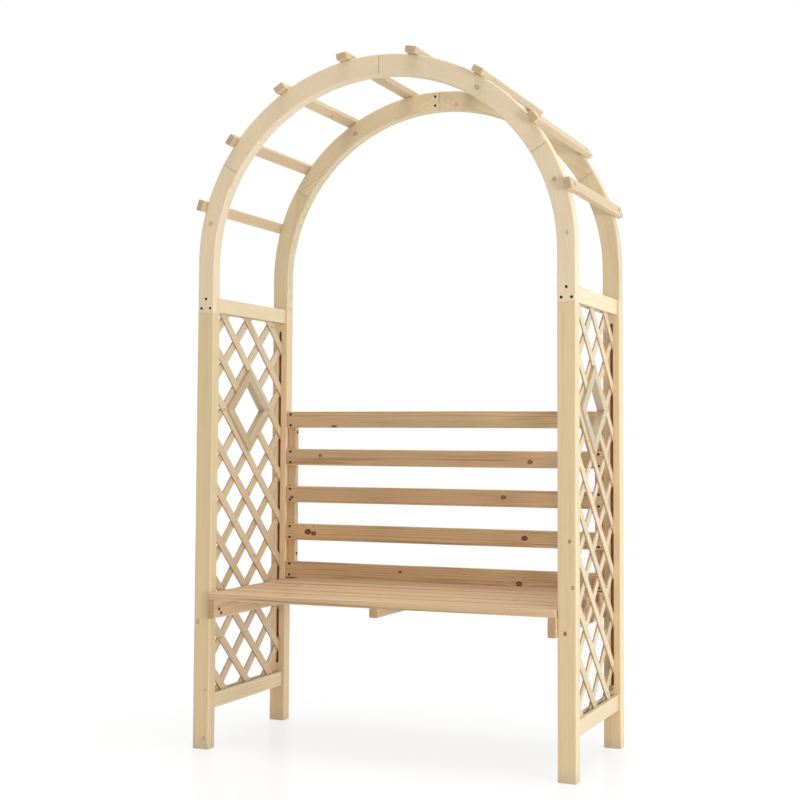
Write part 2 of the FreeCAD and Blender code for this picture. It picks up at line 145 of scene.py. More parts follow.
timber = {
    "stationStep": 0.055,
    "markRoom": 0.01,               # no even step lies nearer than this to a groove's end or a halving
    "pithOffset": (0.02, 0.075),    # how far the middle of the tree lies from the member's own middle
    "roundingWave": 0.18,           # share by which an eased edge grows and shrinks along a member
    "waves": ((9, 0.6), (23, 0.4)),     # how fast it does, and how much of each
    "roundLimit": 0.45,             # most of half the thickness that an eased edge takes
    "insetLimit": 0.3,              # most of the thickness that a round end draws in
    "leastGroove": 0.05,            # square of the share of its width that a groove keeps at its round end
    "leastLength": 1e-4,
    "paintedSideShadeShare": 0.7,               # how far the painted shade on a slat's narrow side reaches in, as a share of the rounding
    "endFlat": 0.0025,              # width of the flat rim of an end face
    "endRings": 3,                  # how many rings count as the end face
    "knotSlots": 3,
    "gapShade": 0.6,
}
noKnot = (5.0, 5.0, 0.001, 0.0)     # too far away to show
samePlace = 1e-9                    # places nearer than this are one


def endOffsets(rounding, between):
    # Each end has a flat rim and a quarter circle. Gives how many rings that takes, how far each ring is
    # moved along the member and how far it is drawn in, with the rings between the ends left as they are.
    turns = np.radians([90, 60, 30, 0])
    rise = np.concatenate([[0], rounding * (1 - np.sin(turns))])
    inset = np.concatenate([[rounding + timber["endFlat"]], rounding * (1 - np.cos(turns))])
    none = np.zeros(between)
    return len(rise), np.concatenate([rise, none, -rise[::-1]]), np.concatenate([inset, none, inset[::-1]])


def endMask(shape):
    ends = np.zeros(shape)
    ends[:timber["endRings"]], ends[-timber["endRings"]:] = 1.0, 1.0
    return ends


def grainFields(mesh, points, axes, middle, seed, edge, endNear, knots=()):
    # place in the tree: coordinates along, across and through the board, moved off the pith by chance
    chance = np.random.default_rng(seed)
    local = (points - middle) @ np.array(axes).T
    near, far = timber["pithOffset"]
    turn = chance.uniform(0, 2 * math.pi)
    reach = chance.uniform(near, far)
    shift = np.array([chance.uniform(0, 40), reach * math.cos(turn), reach * math.sin(turn)])
    writeField(mesh, "grainPlace", "FLOAT_VECTOR", local + shift)
    writeField(mesh, "boardTone", "FLOAT", np.full(len(points), chance.uniform(-1, 1)))
    writeField(mesh, "boardWarmth", "FLOAT", np.full(len(points), chance.uniform(-1, 1)))
    writeField(mesh, "edgeNear", "FLOAT", edge)
    writeField(mesh, "endNear", "FLOAT", endNear)
    filled = [(*knot, 1.0)[:4] for knot in knots] + [noKnot] * (timber["knotSlots"] - len(knots))
    writeField(mesh, "knotDark", "FLOAT_VECTOR", np.full((len(points), 3), [knot[3] for knot in filled]))
    for number, (along, across, radius, _) in enumerate(filled):
        place = np.stack([local[:, 0] - along, local[:, 1] - across, np.full(len(points), radius)], axis=1)
        writeField(mesh, "knot" + "ABC"[number], "FLOAT_VECTOR", place)


def memberStations(length, endRounding, groove, lap):
    # Even steps along a member, with added places at the round ends of a stopped groove, and two rings in
    # one place where a groove or a halving begins
    places = np.linspace(0, 1, max(int(length / timber["stationStep"]), 2) + 1)[1:-1] * length
    marks = []
    if groove is not None and groove[2] > 0:
        half, _, fromHere, toHere = groove
        nearEnds = half * np.array([0.0, 0.0, 0.3, 1.0])
        marks += [(fromHere, fromHere + nearEnds), (toHere, toHere - nearEnds)]
    if lap is not None:
        marks.append((lap[0], np.array([lap[0], lap[0]])))
    for at, added in marks:
        places = np.concatenate([places[np.abs(places - at) > timber["markRoom"]], added])
    places = np.sort(places)
    rings, offset, insets = endOffsets(endRounding, len(places))
    return np.pad(places / length, rings, constant_values=(0, 1)), offset, insets


def grooveAlong(u, groove):
    # Half width and depth of a groove at each place. One that starts past 0 is stopped, with round ends:
    # its half width follows a quarter circle there.
    half, depth, fromHere, toHere = groove
    if fromHere <= 0:
        return np.full(len(u), half), np.full(len(u), depth)
    fromEnd = np.minimum(u - fromHere, toHere - u)
    inside = np.clip(fromEnd / half, 0, 1)
    roundEnd = np.sqrt(np.clip(1 - (1 - inside) ** 2, timber["leastGroove"], 1))
    deep = np.where(fromEnd > -samePlace, depth, 0.0)
    deep[np.flatnonzero(np.abs(u - fromHere) < samePlace)[0]] = 0.0
    deep[np.flatnonzero(np.abs(u - toHere) < samePlace)[-1]] = 0.0
    return half * roundEnd, deep


def slantedEnds(v, w, length, start, axes, cuts):
    # Where each line along the member begins and ends: it meets a cutting plane where the plane's direction
    # times the point is the plane's limit
    along, across, deep = axes
    low, high = np.zeros_like(v), np.full_like(v, length)
    for direction, limit in cuts:
        slope = float(np.dot(direction, along))
        reach = (limit - np.dot(direction, start) - v * float(np.dot(direction, across))
                 - w * float(np.dot(direction, deep))) / slope
        if slope > 0:
            high = np.minimum(high, reach)
        else:
            low = np.maximum(low, reach)
    return low, np.maximum(high, low + timber["leastLength"])


def straightMember(name, start, end, across, wide, thick, seed, rounding=0.002, endRounding=0.0012,
                   bow=(0.0, 0.0), cup=0.0, groove=None, lap=None, cuts=(), knots=(), corners=(1, 1, 1, 1),
                   paintedSideShade=False, gapSides=()):
    # A ring carried along a straight line: each point is start + u along + v across + w deep. A half sine
    # wave bows v and w, and cup adds one less the square of v over half the width to w. groove is (half
    # width, depth, from, to), lap is where the +w or -w half is cut away (from, side, plane), and cuts are
    # (direction, limit) planes that end the member on a slant.
    start, end, across = np.array(start, float), np.array(end, float), unit(across)
    length = np.linalg.norm(end - start)
    along = (end - start) / length
    deep = np.cross(along, across)
    axes = (along, across, deep)
    share, offset, insets = memberStations(length, endRounding, groove, lap)
    insets = np.minimum(insets, timber["insetLimit"] * min(wide, thick))
    halfWide, halfDeep = wide / 2 - insets, thick / 2 - insets
    u = share * length + offset
    phase = np.random.default_rng(seed + 1000).uniform(0, 2 * math.pi, 2)
    wave = sum(part * np.sin(u * speed + turn) for (speed, part), turn in zip(timber["waves"], phase))
    radius = np.minimum(rounding * (1 + timber["roundingWave"] * wave),
                        timber["roundLimit"] * np.minimum(halfWide, halfDeep))
    grooveHalf, grooveDeep = grooveAlong(u, groove) if groove is not None else (None, None)
    v, w, edge = ringPoints(halfWide, halfDeep, radius, grooveHalf, grooveDeep, corners)
    if lap is not None:
        at, side, plane = lap
        halved = u > at + samePlace
        halved[np.flatnonzero(np.abs(u - at) < samePlace)[1:]] = True
        w = np.where(halved[:, None], np.minimum(w, plane) if side > 0 else np.maximum(w, plane), w)
    low, high = slantedEnds(v, w, length, start, axes, cuts)
    spread = low + share[:, None] * (high - low) + offset[:, None]
    bend = np.sin(math.pi * (spread / length))
    v = v + bow[0] * bend
    w = w + bow[1] * bend + cup * (1 - (v / (wide / 2)) ** 2)
    points = start + spread[..., None] * along + v[..., None] * across + w[..., None] * deep
    mesh = meshFromRings(name, points)
    edges = np.broadcast_to(edge, v.shape).copy()
    if groove is not None:
        edges = np.where(grooveDeep[:, None] > 0, edges, np.maximum(edges, 0))
    if paintedSideShade:        # painted shade: the narrow sides are darker from corner to corner, as in their shade
        reach = halfWide[:, None] - timber["paintedSideShadeShare"] * rounding
        edges = (np.abs(v - bow[0] * bend) > reach).astype(float)
    for side in gapSides:       # painted shade in the narrow gap to the next board
        edges = np.where((edges > 0) & (side * v > 0), -timber["gapShade"], edges)
    edges[1:4], edges[-4:-1] = 1.0, 1.0     # the round ends
    grainFields(mesh, points.reshape(-1, 3), axes, (start + end) / 2, seed, edges.ravel(),
                endMask(v.shape).ravel(), knots)
    return mesh


def joinMeshes(name, meshes):
    joined = bmesh.new()
    for mesh in meshes:
        joined.from_mesh(mesh)
    result = bpy.data.meshes.new(name)
    joined.to_mesh(result)
    joined.free()
    for mesh in meshes:
        bpy.data.meshes.remove(mesh)
    return result


# Node helpers

class Bench:
    # Places nodes in a tree and links them, so that a formula reads in the order in which it is worked out
    def __init__(self, tree):
        self.tree = tree
        self.column = 0

    def add(self, kind, **settings):
        node = self.tree.nodes.new(kind)
        self.column += 1
        node.location = (self.column * 180, -(self.column % 4) * 160)
        for key, value in settings.items():
            setattr(node, key, value)
        return node

    def feed(self, socket, value):
        if isinstance(value, bpy.types.NodeSocket):
            self.tree.links.new(value, socket)
        else:
            socket.default_value = value

    def feedAll(self, sockets, values):
        for key, value in values.items():
            self.feed(sockets[key], value)

    def math(self, operation, *values):
        node = self.add("ShaderNodeMath", operation=operation)
        for socket, value in zip(node.inputs, values):
            self.feed(socket, value)
        return node.outputs[0]

    def vector(self, operation, *values, scale=None):
        node = self.add("ShaderNodeVectorMath", operation=operation)
        for socket, value in zip(node.inputs, values):
            self.feed(socket, value)
        if scale is not None:
            self.feed(node.inputs["Scale"], scale)
        return node.outputs["Value" if operation == "LENGTH" else "Vector"]

    def smooth(self, value, low, high, bottom=0.0, top=1.0):
        node = self.add("ShaderNodeMapRange", interpolation_type="SMOOTHSTEP")
        self.feedAll(node.inputs, {"Value": value, "From Min": low, "From Max": high, "To Min": bottom,
                                   "To Max": top})
        return node.outputs["Result"]

    def noise(self, place, detail=2.0, roughness=0.5, scale=1.0, output="Fac"):
        node = self.add("ShaderNodeTexNoise")
        self.feedAll(node.inputs, {"Vector": place, "Scale": scale, "Detail": detail, "Roughness": roughness})
        return node.outputs[output]

    def mix(self, share, first, second):
        node = self.add("ShaderNodeMix", data_type="RGBA")
        self.feedAll(node.inputs, {"Factor": share, 6: first, 7: second})
        return node.outputs[2]

    def mixShader(self, share, first, second):
        node = self.add("ShaderNodeMixShader")
        self.feedAll(node.inputs, {0: share, 1: first, 2: second})
        return node.outputs[0]

    def attribute(self, name, output="Vector"):
        return self.add("ShaderNodeAttribute", attribute_name=name).outputs[output]

    def objectPlace(self):
        return self.add("ShaderNodeTexCoord").outputs["Object"]

    def separate(self, vector):
        node = self.add("ShaderNodeSeparateXYZ")
        self.feed(node.inputs[0], vector)
        return node.outputs

    def group(self, tree, values):
        node = self.add("ShaderNodeGroup", node_tree=tree)
        self.feedAll(node.inputs, values)
        return node.outputs


def newGroup(name, inputs, outputs):
    # inputs and outputs give each socket's kind
    tree = bpy.data.node_groups.new(name, "ShaderNodeTree")
    for way, sockets in (("INPUT", inputs), ("OUTPUT", outputs)):
        for title, kind in sockets.items():
            tree.interface.new_socket(title, in_out=way, socket_type="NodeSocket" + kind)
    given, result = tree.nodes.new("NodeGroupInput").outputs, tree.nodes.new("NodeGroupOutput").inputs
    return tree, Bench(tree), given, result


def newMaterial(name):
    material = bpy.data.materials.new(name)
    material.use_nodes = True
    tree = material.node_tree
    return material, Bench(tree), tree.nodes["Principled BSDF"]


def addBump(bench, shader, height, strength, distance):
    bump = bench.add("ShaderNodeBump")
    bench.feedAll(bump.inputs, {"Strength": strength, "Distance": distance, "Height": height})
    bench.feed(shader.inputs["Normal"], bump.outputs["Normal"])


def srgb(red, green, blue):
    def linear(value):
        value /= 255
        return value / 12.92 if value <= 0.04045 else ((value + 0.055) / 1.055) ** 2.4
    return (linear(red), linear(green), linear(blue), 1.0)


grainLook = {       # waves per metre along, across and through the board, then how much each one shows
    "slow": (0.9, 7.0, 7.0), "broad": (1.6, 22.0, 22.0), "streak": (3.2, 120.0, 120.0),
    "line": (1.5, 72.0, 72.0), "fibre": (14.0, 620.0, 620.0), "wear": (24.0, 90.0, 90.0),
    "drift": (0.0, 0.022, 0.022), "fibreLevel": 0.20, "broadLevel": 0.16, "toneLevel": 0.055,
    "lateRise": (0.35, 0.88), "lateFall": (0.93, 1.0), "weakRing": 0.4, "streaks": (0.54, 0.74),
    "lineShift": (7.3, 1.7, 4.1), "lines": (0.64, 0.71), "lineShade": (0.52, 0.45, 0.38),
    "warm": (0.42, 0.75), "warmMost": 0.5, "boardWarmth": 0.25, "endShade": (0.66, 0.58, 0.48),
}


def buildTreeRings():
    # Growth rings about the pith: distance from it over the ring gap, with a sharp dark late edge
    tree, bench, given, result = newGroup(
        "treeRings",
        {"Place": "Vector", "Ring Gap": "Float", "Swirl": "Float", "Early Colour": "Color",
         "Late Colour": "Color", "Ring Strength": "Float", "Streak Strength": "Float",
         "Line Strength": "Float", "Tone": "Float", "Warmth": "Float", "Warm Colour": "Color"},
        {"Colour": "Color", "Late": "Float", "Fibre": "Float"})
    place, lateColour = given["Place"], given["Late Colour"]
    slow = bench.noise(bench.vector("MULTIPLY", place, grainLook["slow"]), 2.0, output="Color")
    drift = bench.vector("SUBTRACT", slow, (0.5, 0.5, 0.5))
    wavy = bench.vector("ADD", place, bench.vector("MULTIPLY", drift, grainLook["drift"]))
    reach = bench.vector("LENGTH", bench.vector("MULTIPLY", wavy, (0.0, 1.0, 1.0)))
    phase = bench.math("ADD", bench.math("DIVIDE", reach, given["Ring Gap"]), given["Swirl"])
    ring = bench.math("FRACT", phase)
    each = bench.add("ShaderNodeTexWhiteNoise", noise_dimensions="1D")
    bench.feed(each.inputs["W"], bench.math("FLOOR", phase))
    rise = bench.smooth(ring, *grainLook["lateRise"])
    fall = bench.smooth(ring, *grainLook["lateFall"], 1.0, 0.0)
    weak = grainLook["weakRing"]
    strength = bench.math("MULTIPLY_ADD", each.outputs["Value"], 1 - weak, weak)
    late = bench.math("MULTIPLY", bench.math("MULTIPLY", rise, fall), strength)
    fibre = bench.noise(bench.vector("MULTIPLY", place, grainLook["fibre"]), 3.0, 0.65)
    streak = bench.noise(bench.vector("MULTIPLY", place, grainLook["streak"]), 2.0, 0.6)
    broad = bench.noise(bench.vector("MULTIPLY", place, grainLook["broad"]), 2.0)
    wood = bench.mix(bench.math("MULTIPLY", late, given["Ring Strength"]),
                     given["Early Colour"], lateColour)
    streaked = bench.smooth(streak, *grainLook["streaks"])
    streaked = bench.math("MULTIPLY", streaked, given["Streak Strength"])
    wood = bench.mix(streaked, wood, lateColour)
    # resin lines: few, thin and long, from a noise of their own, which a shift keeps apart from the others
    elsewhere = bench.vector("ADD", wavy, grainLook["lineShift"])
    line = bench.noise(bench.vector("MULTIPLY", elsewhere, grainLook["line"]), 1.0)
    lined = bench.math("MULTIPLY", bench.smooth(line, *grainLook["lines"]), given["Line Strength"])
    wood = bench.mix(lined, wood, bench.vector("MULTIPLY", lateColour, grainLook["lineShade"]))
    warmHere = bench.smooth(broad, *grainLook["warm"], 0.0, grainLook["warmMost"])
    warm = bench.math("MULTIPLY_ADD", given["Warmth"], grainLook["boardWarmth"], warmHere)
    wood = bench.mix(warm, wood, given["Warm Colour"])
    level = bench.math("MULTIPLY_ADD", bench.math("SUBTRACT", fibre, 0.5), grainLook["fibreLevel"], 1.0)
    level = bench.math("MULTIPLY_ADD", bench.math("SUBTRACT", broad, 0.5), grainLook["broadLevel"], level)
    level = bench.math("MULTIPLY_ADD", given["Tone"], grainLook["toneLevel"], level)
    wood = bench.vector("SCALE", wood, scale=level)
    bench.feedAll(result, {"Colour": wood, "Late": late, "Fibre": fibre})
    return tree


knotLook = {        # squash along and across, roughness of its outline, and where core and rim rise and fall
    "squash": (0.8, 1.0, 0.0), "waves": 170.0, "rough": 0.5, "core": (0.82, 1.0), "rimRise": (0.62, 0.98),
    "rimFall": (0.98, 1.35), "swirlFall": -0.16, "swirl": 3.2, "rings": 17.0,
}


def buildKnot():
    # A knot at the origin of its own coordinates, whose third one is its radius. Away is the distance over
    # the radius: the core lies inside 1, the dark rim about 1, and the rings are a sine wave of it. The swirl
    # is e to the power of a negative share of its square, and bends the growth rings round the knot.
    tree, bench, given, result = newGroup(
        "knot", {"Place": "Vector"}, {"Core": "Float", "Rim": "Float", "Swirl": "Float", "Rings": "Float"})
    radius = bench.separate(given["Place"])["Z"]
    flat = bench.vector("MULTIPLY", given["Place"], knotLook["squash"])
    away = bench.math("DIVIDE", bench.vector("LENGTH", flat), radius)
    rough = bench.noise(given["Place"], 2.0, 0.6, scale=knotLook["waves"])
    away = bench.math("MULTIPLY_ADD", bench.math("SUBTRACT", rough, 0.5), knotLook["rough"], away)
    core = bench.smooth(away, *knotLook["core"], 1.0, 0.0)
    rim = bench.math("MULTIPLY", bench.smooth(away, *knotLook["rimRise"]),
                     bench.smooth(away, *knotLook["rimFall"], 1.0, 0.0))
    falling = bench.math("MULTIPLY", bench.math("MULTIPLY", away, away), knotLook["swirlFall"])
    swirl = bench.math("MULTIPLY", bench.math("EXPONENT", falling), knotLook["swirl"])
    sine = bench.math("SINE", bench.math("MULTIPLY", away, knotLook["rings"]))
    rings = bench.math("MULTIPLY_ADD", sine, 0.5, 0.5)
    bench.feedAll(result, {"Core": core, "Rim": rim, "Swirl": swirl, "Rings": rings})
    return tree


useLook = {         # how patchy rubbed edges are, and the sizes of dull patches and dust in waves per metre
    "patchy": 1.1, "rubbed": (0.45, 1.15), "patchWaves": 7.0, "patches": (0.45, 0.75),
    "dustWaves": 60.0, "dustPatchy": 0.8, "dust": (0.3, 1.4),
}


def buildEdgeWearAndSideShade():
    # The edge mask, broken up by noise along the grain: where a rounded edge has rubbed pale, and the painted
    # shade on the lattice slats' narrow sides
    tree, bench, given, result = newGroup(
        "edgeWearAndSideShade", {"Edge": "Float", "Place": "Vector", "Amount": "Float"}, {"Mask": "Float"})
    patchy = bench.noise(bench.vector("MULTIPLY", given["Place"], grainLook["wear"]), 3.0, 0.6)
    broken = bench.math("SUBTRACT", patchy, 0.5)
    height = bench.math("MULTIPLY_ADD", broken, useLook["patchy"], given["Edge"])
    mask = bench.math("MULTIPLY", bench.smooth(height, *useLook["rubbed"]), given["Amount"])
    bench.feed(result["Mask"], mask)
    return tree


def buildHandling():
    # Faint marks of use: soft dull patches, and a little dust low down near the ground
    tree, bench, given, result = newGroup(
        "handling", {"Position": "Vector", "Ground Height": "Float"}, {"Patches": "Float", "Dust": "Float"})
    patches = bench.noise(given["Position"], 3.0, 0.6, scale=useLook["patchWaves"])
    low = bench.math("DIVIDE", bench.separate(given["Position"])["Z"], given["Ground Height"])
    fine = bench.noise(given["Position"], 2.0, 0.5, scale=useLook["dustWaves"])
    height = bench.math("MULTIPLY_ADD", fine, useLook["dustPatchy"], low)
    dust = bench.smooth(height, *useLook["dust"], 1.0, 0.0)
    bench.feedAll(result, {"Patches": bench.smooth(patches, *useLook["patches"]), "Dust": dust})
    return tree


treeRings, knotGroup, edgeWearAndSideShade, handling = buildTreeRings(), buildKnot(), buildEdgeWearAndSideShade(), buildHandling()

usualWood = {       # what the woods share, where woodLooks gives nothing else
    "heart": ((134, 90, 54), (172, 126, 82)), "rim": (84, 50, 26), "worn": (230, 210, 180),
    # the hollow colour is painted shade on groove floors and in the gaps between boards
    "paintedHollowShade": (160, 96, 36), "dust": (176, 164, 146), "end": 0.4, "roughness": 0.52, "bump": 0.45,
    "bumpDistance": 0.0006, "lateHeight": 0.5, "fibreHeight": 0.7, "coreHeight": 0.5, "coreShare": 0.85,
    "paintedHollowShadeShare": -0.9, "groundHeight": 0.05, "dustShare": 0.35, "patchDull": 0.08, "fibreDull": 0.25,
    "lateDull": -0.10, "specular": 0.35,
}
woodLooks = {       # colours, the gap between growth rings, and how strongly each of the other marks shows
    "postWood": {"early": (215, 191, 149), "late": (188, 158, 114), "warm": (212, 180, 142),
                 "heart": ((100, 66, 36), (150, 110, 68)), "ringGap": 0.0085, "rings": 0.22, "streaks": 0.20,
                 "wear": 0.22, "lines": 0.12, "knots": 0.38},
    # paler than the front posts' wood: painted light on the rear posts, which stand in the shade of the seat
    # and front posts
    "rearPostWoodPaintedLight": {"early": (222, 193, 150), "late": (197, 161, 118), "warm": (218, 182, 144),
                     "ringGap": 0.0085, "rings": 0.22, "streaks": 0.20, "wear": 0.22, "lines": 0.12,
                     "knots": 0.38},
    "archWood": {"early": (220, 200, 168), "late": (196, 168, 132), "warm": (219, 191, 160), "end": 0.15,
                 "ringGap": 0.0085, "rings": 0.20, "streaks": 0.16, "wear": 0.18, "lines": 0.1,
                 "knots": 0.45},
    # darker and more saturated than the front arch's wood: partly painted shade, as of foliage over the rear
    # arch
    "rearArchWoodPaintedShade": {"early": (208, 188, 151), "late": (180, 152, 114), "warm": (205, 178, 141),
                     "ringGap": 0.0075, "rings": 0.30, "streaks": 0.28, "wear": 0.18, "lines": 0.15,
                     "knots": 0.5},
    "rungWood": {"early": (199, 175, 138), "late": (172, 142, 106), "warm": (198, 166, 127),
                 "ringGap": 0.0048, "rings": 0.45, "streaks": 0.25, "wear": 0.25, "lines": 0.25,
                 "knots": 0.6},
    "railWood": {"early": (216, 194, 158), "late": (188, 158, 118), "warm": (211, 180, 142),
                 "ringGap": 0.0052, "rings": 0.34, "streaks": 0.22, "wear": 0.22, "lines": 0.15,
                 "knots": 0.5},
    # darker than the rail wood: partly painted shade, as of foliage over the windows
    "limbWoodPaintedShade": {"early": (187, 168, 137), "late": (164, 140, 108), "warm": (184, 159, 127),
                 "ringGap": 0.0052, "rings": 0.34, "streaks": 0.22, "wear": 0.15, "lines": 0.15,
                 "knots": 0.5},
    # the lattice's worn colour is dark: painted shade on the slats' narrow sides
    "latticeWood": {"early": (207, 183, 149), "late": (178, 149, 114), "warm": (204, 172, 138),
                    "worn": (150, 122, 86), "ringGap": 0.0044, "rings": 0.40, "streaks": 0.25, "wear": 0.65,
                    "lines": 0.3, "knots": 0.6},
    "seatWood": {"early": (201, 172, 132), "late": (157, 121, 84), "warm": (195, 158, 116), "end": 0.05,
                 "ringGap": 0.0072, "rings": 0.42, "streaks": 0.45, "wear": 0.20, "lines": 0.65,
                 "knots": 0.75},
    "bearerWood": {"early": (211, 179, 141), "late": (174, 138, 102), "warm": (205, 166, 127), "end": 0.95,
                   "ringGap": 0.0080, "rings": 0.30, "streaks": 0.30, "wear": 0.20, "lines": 0.15,
                   "knots": 0.55},
    "backWood": {"early": (204, 171, 130), "late": (158, 121, 82), "warm": (198, 157, 114),
                 "heart": ((104, 58, 18), (140, 90, 40)), "ringGap": 0.0062, "rings": 0.58, "streaks": 0.58,
                 "wear": 0.24, "lines": 0.40, "knots": 1.0},
}


def addKnots(bench, look, knots, colour, height):
    # Over the wood's colour: each knot's core with its own rings, then its dark rim
    dark = bench.separate(bench.attribute("knotDark"))
    for number, knot in enumerate(knots):
        strong = bench.math("MULTIPLY", dark[number], look["knots"])
        heart = bench.mix(knot["Rings"], *(srgb(*shade) for shade in look["heart"]))
        core = bench.math("MULTIPLY", bench.math("MULTIPLY", knot["Core"], look["coreShare"]), strong)
        colour = bench.mix(core, colour, heart)
        rim = bench.math("MULTIPLY", knot["Rim"], strong)
        colour = bench.mix(rim, colour, srgb(*look["rim"]))
        height = bench.math("MULTIPLY_ADD", knot["Core"], look["coreHeight"], height)
    return colour, height


def woodMaterial(name):
    # Growth rings bent round the knots, then from the wood outwards: knots, rubbed edges (painted shade on
    # the lattice slats' narrow sides), painted shade in grooves and board gaps, darker end grain, and dust
    # near the ground
    look = {**usualWood, **woodLooks[name]}
    material, bench, shader = newMaterial(name)
    place, edgeNear = bench.attribute("grainPlace"), bench.attribute("edgeNear", "Fac")
    knots = [bench.group(knotGroup, {"Place": bench.attribute("knot" + letter)}) for letter in "ABC"]
    swirl = 0.0
    for knot in knots:
        swirl = bench.math("ADD", swirl, knot["Swirl"])
    grain = bench.group(treeRings, {
        "Place": place, "Ring Gap": look["ringGap"], "Swirl": swirl, "Early Colour": srgb(*look["early"]),
        "Late Colour": srgb(*look["late"]), "Ring Strength": look["rings"],
        "Streak Strength": look["streaks"], "Line Strength": look["lines"],
        "Tone": bench.attribute("boardTone", "Fac"), "Warmth": bench.attribute("boardWarmth", "Fac"),
        "Warm Colour": srgb(*look["warm"])})
    late, fibre = grain["Late"], grain["Fibre"]
    height = bench.math("MULTIPLY_ADD", late, look["lateHeight"],
                        bench.math("MULTIPLY", fibre, look["fibreHeight"]))
    colour, height = addKnots(bench, look, knots, grain["Colour"], height)
    worn = bench.group(edgeWearAndSideShade, {"Edge": edgeNear, "Place": place, "Amount": look["wear"]})
    # pale rubbed edges; the lattice's dark worn colour is painted shade on its slats' narrow sides
    colour = bench.mix(worn["Mask"], colour, srgb(*look["worn"]))
    # painted shade on groove floors and in the gaps between boards, where edgeNear is below 0
    paintedHollowShade = bench.math("MAXIMUM", bench.math("MULTIPLY", edgeNear, look["paintedHollowShadeShare"]), 0.0)
    colour = bench.mix(paintedHollowShade, colour, srgb(*look["paintedHollowShade"]))
    endHere = bench.math("MULTIPLY", bench.attribute("endNear", "Fac"), look["end"])
    colour = bench.mix(endHere, colour, bench.vector("MULTIPLY", colour, grainLook["endShade"]))
    used = bench.group(handling, {"Position": bench.objectPlace(), "Ground Height": look["groundHeight"]})
    dusty = bench.math("MULTIPLY", used["Dust"], look["dustShare"])
    colour = bench.mix(dusty, colour, srgb(*look["dust"]))
    dull = bench.math("MULTIPLY_ADD", used["Patches"], look["patchDull"], look["roughness"])
    dull = bench.math("MULTIPLY_ADD", bench.math("SUBTRACT", fibre, 0.5), look["fibreDull"], dull)
    dull = bench.math("MULTIPLY_ADD", late, look["lateDull"], dull)
    bench.feedAll(shader.inputs, {"Base Color": colour, "Roughness": dull,
                                  "Specular IOR Level": look["specular"]})
    addBump(bench, shader, height, look["bump"], look["bumpDistance"])
    return material


materials = {name: woodMaterial(name) for name in woodLooks}
print("materials made")


# Posts: a half-lap at the top and a stopped groove in the face towards the other post of that side

postLook = {"edge": 0.0030, "endEdge": 0.0015, "grooveHalf": 0.0052, "grooveDeep": 0.012, "grooveStop": 0.027,
            "seeds": {"front_left": 12, "front_right": 10, "rear_left": 65, "rear_right": 13}}
postKnots = {       # height from the post's middle, place across it, radius, and sometimes how dark it is
    "front_right": [(-0.280, -0.005, 0.0042, 2.6), (-0.154, 0.017, 0.0042, 1.5),
                    (-0.027, 0.008, 0.0038, 2.0)],
    "front_left": [(-0.304, -0.0135, 0.0055), (-0.6535, 0.0114, 0.0045), (-0.509, 0.015, 0.0030)],
    "rear_right": [(-0.505, 0.004, 0.0060, 2.0)],
    "rear_left": [(0.20, 0.0, 0.004)],
}
jointHeight = nodeBox("front_arch_left_leg")[0][2]


def makePost(end, side):
    # A straight member that stands on its lower end and is halved above the arch's shoulder. Its groove
    # stops short of both rails.
    name = end + "_" + side + "_post"
    (x, y, _), (wide, deep, _) = nodeMiddle(name), nodeBox(name)[1] - nodeBox(name)[0]
    bottom, top = nodeBox(name)[0][2], nodeBox(name)[1][2]
    towards = 1 if end == "front" else -1      # +w faces the other post of this side
    groove = (postLook["grooveHalf"], postLook["grooveDeep"],
              nodeBox(side + "_lower_rail")[1][2] + postLook["grooveStop"],
              nodeBox(side + "_top_rail")[0][2] - postLook["grooveStop"])
    mesh = straightMember(name + "_planed", (x, y, bottom), (x, y, top), (towards, 0, 0), wide, deep,
                          postLook["seeds"][end + "_" + side], rounding=postLook["edge"],
                          endRounding=postLook["endEdge"], groove=groove, lap=(jointHeight - bottom, -1, 0.0),
                          knots=postKnots[end + "_" + side])
    finishMesh(mesh)
    # the rear posts get the paler wood, painted light for the shade they stand in
    addPiece(mesh, [name], materials["postWood" if end == "front" else "rearPostWoodPaintedLight"])


for end in ("front", "rear"):
    for side in ("left", "right"):
        makePost(end, side)
print("posts made")


# Arches: a band between two half circles, with a straight leg at each side and a halved foot over the post

archLook = {"edge": 0.0028, "seam": 0.0005, "crownBand": 0.062, "haunchAngle": 31.0, "turns": 24,
            "waves": 31, "roundLimit": 0.4, "seed": 30}
archKnots = {       # x and z on the arch, and the radius
    "front_arch_right_crown": [(0.308, 1.953, 0.006)],
    "front_arch_right_leg": [(0.538, 1.672, 0.0045), (0.575, 1.520, 0.004)],
    "front_arch_left_leg": [(-0.560, 1.600, 0.005)],
    "rear_arch_right_crown": [(0.060, 2.030, 0.004)],
    "rear_arch_left_crown": [(-0.300, 1.960, 0.006)],
}
innerRadius = nodeBox("front_right_post")[0][0]
halfWidth, _, postTop = nodeBox("front_right_post")[1]
archTop = nodeBox("front_arch_right_crown")[1][2]
springing = archTop - innerRadius - archLook["crownBand"]
outerCentre = archTop - halfWidth


def archStations(side, part):
    # Angle above the +X side, drop below the springing, and whether the foot is halved there
    haunch = math.radians(archLook["haunchAngle"])
    turns = archLook["turns"]
    if part == "crown":
        angles = np.linspace(haunch, math.pi / 2, turns)
        drops = np.zeros(turns)
        halved = np.zeros(turns, bool)
    else:
        lapDrop, footDrop = springing - postTop, springing - jointHeight
        drops = np.concatenate([[footDrop, lapDrop], np.linspace(lapDrop, 0, 4), np.zeros(turns // 2)])
        angles = np.concatenate([np.zeros(6), np.linspace(0, haunch, turns // 2 + 1)[1:]])
        halved = np.arange(len(drops)) < 2
    if side == "left":
        angles, drops, halved = math.pi - angles[::-1], drops[::-1], halved[::-1]
    return angles, drops, halved


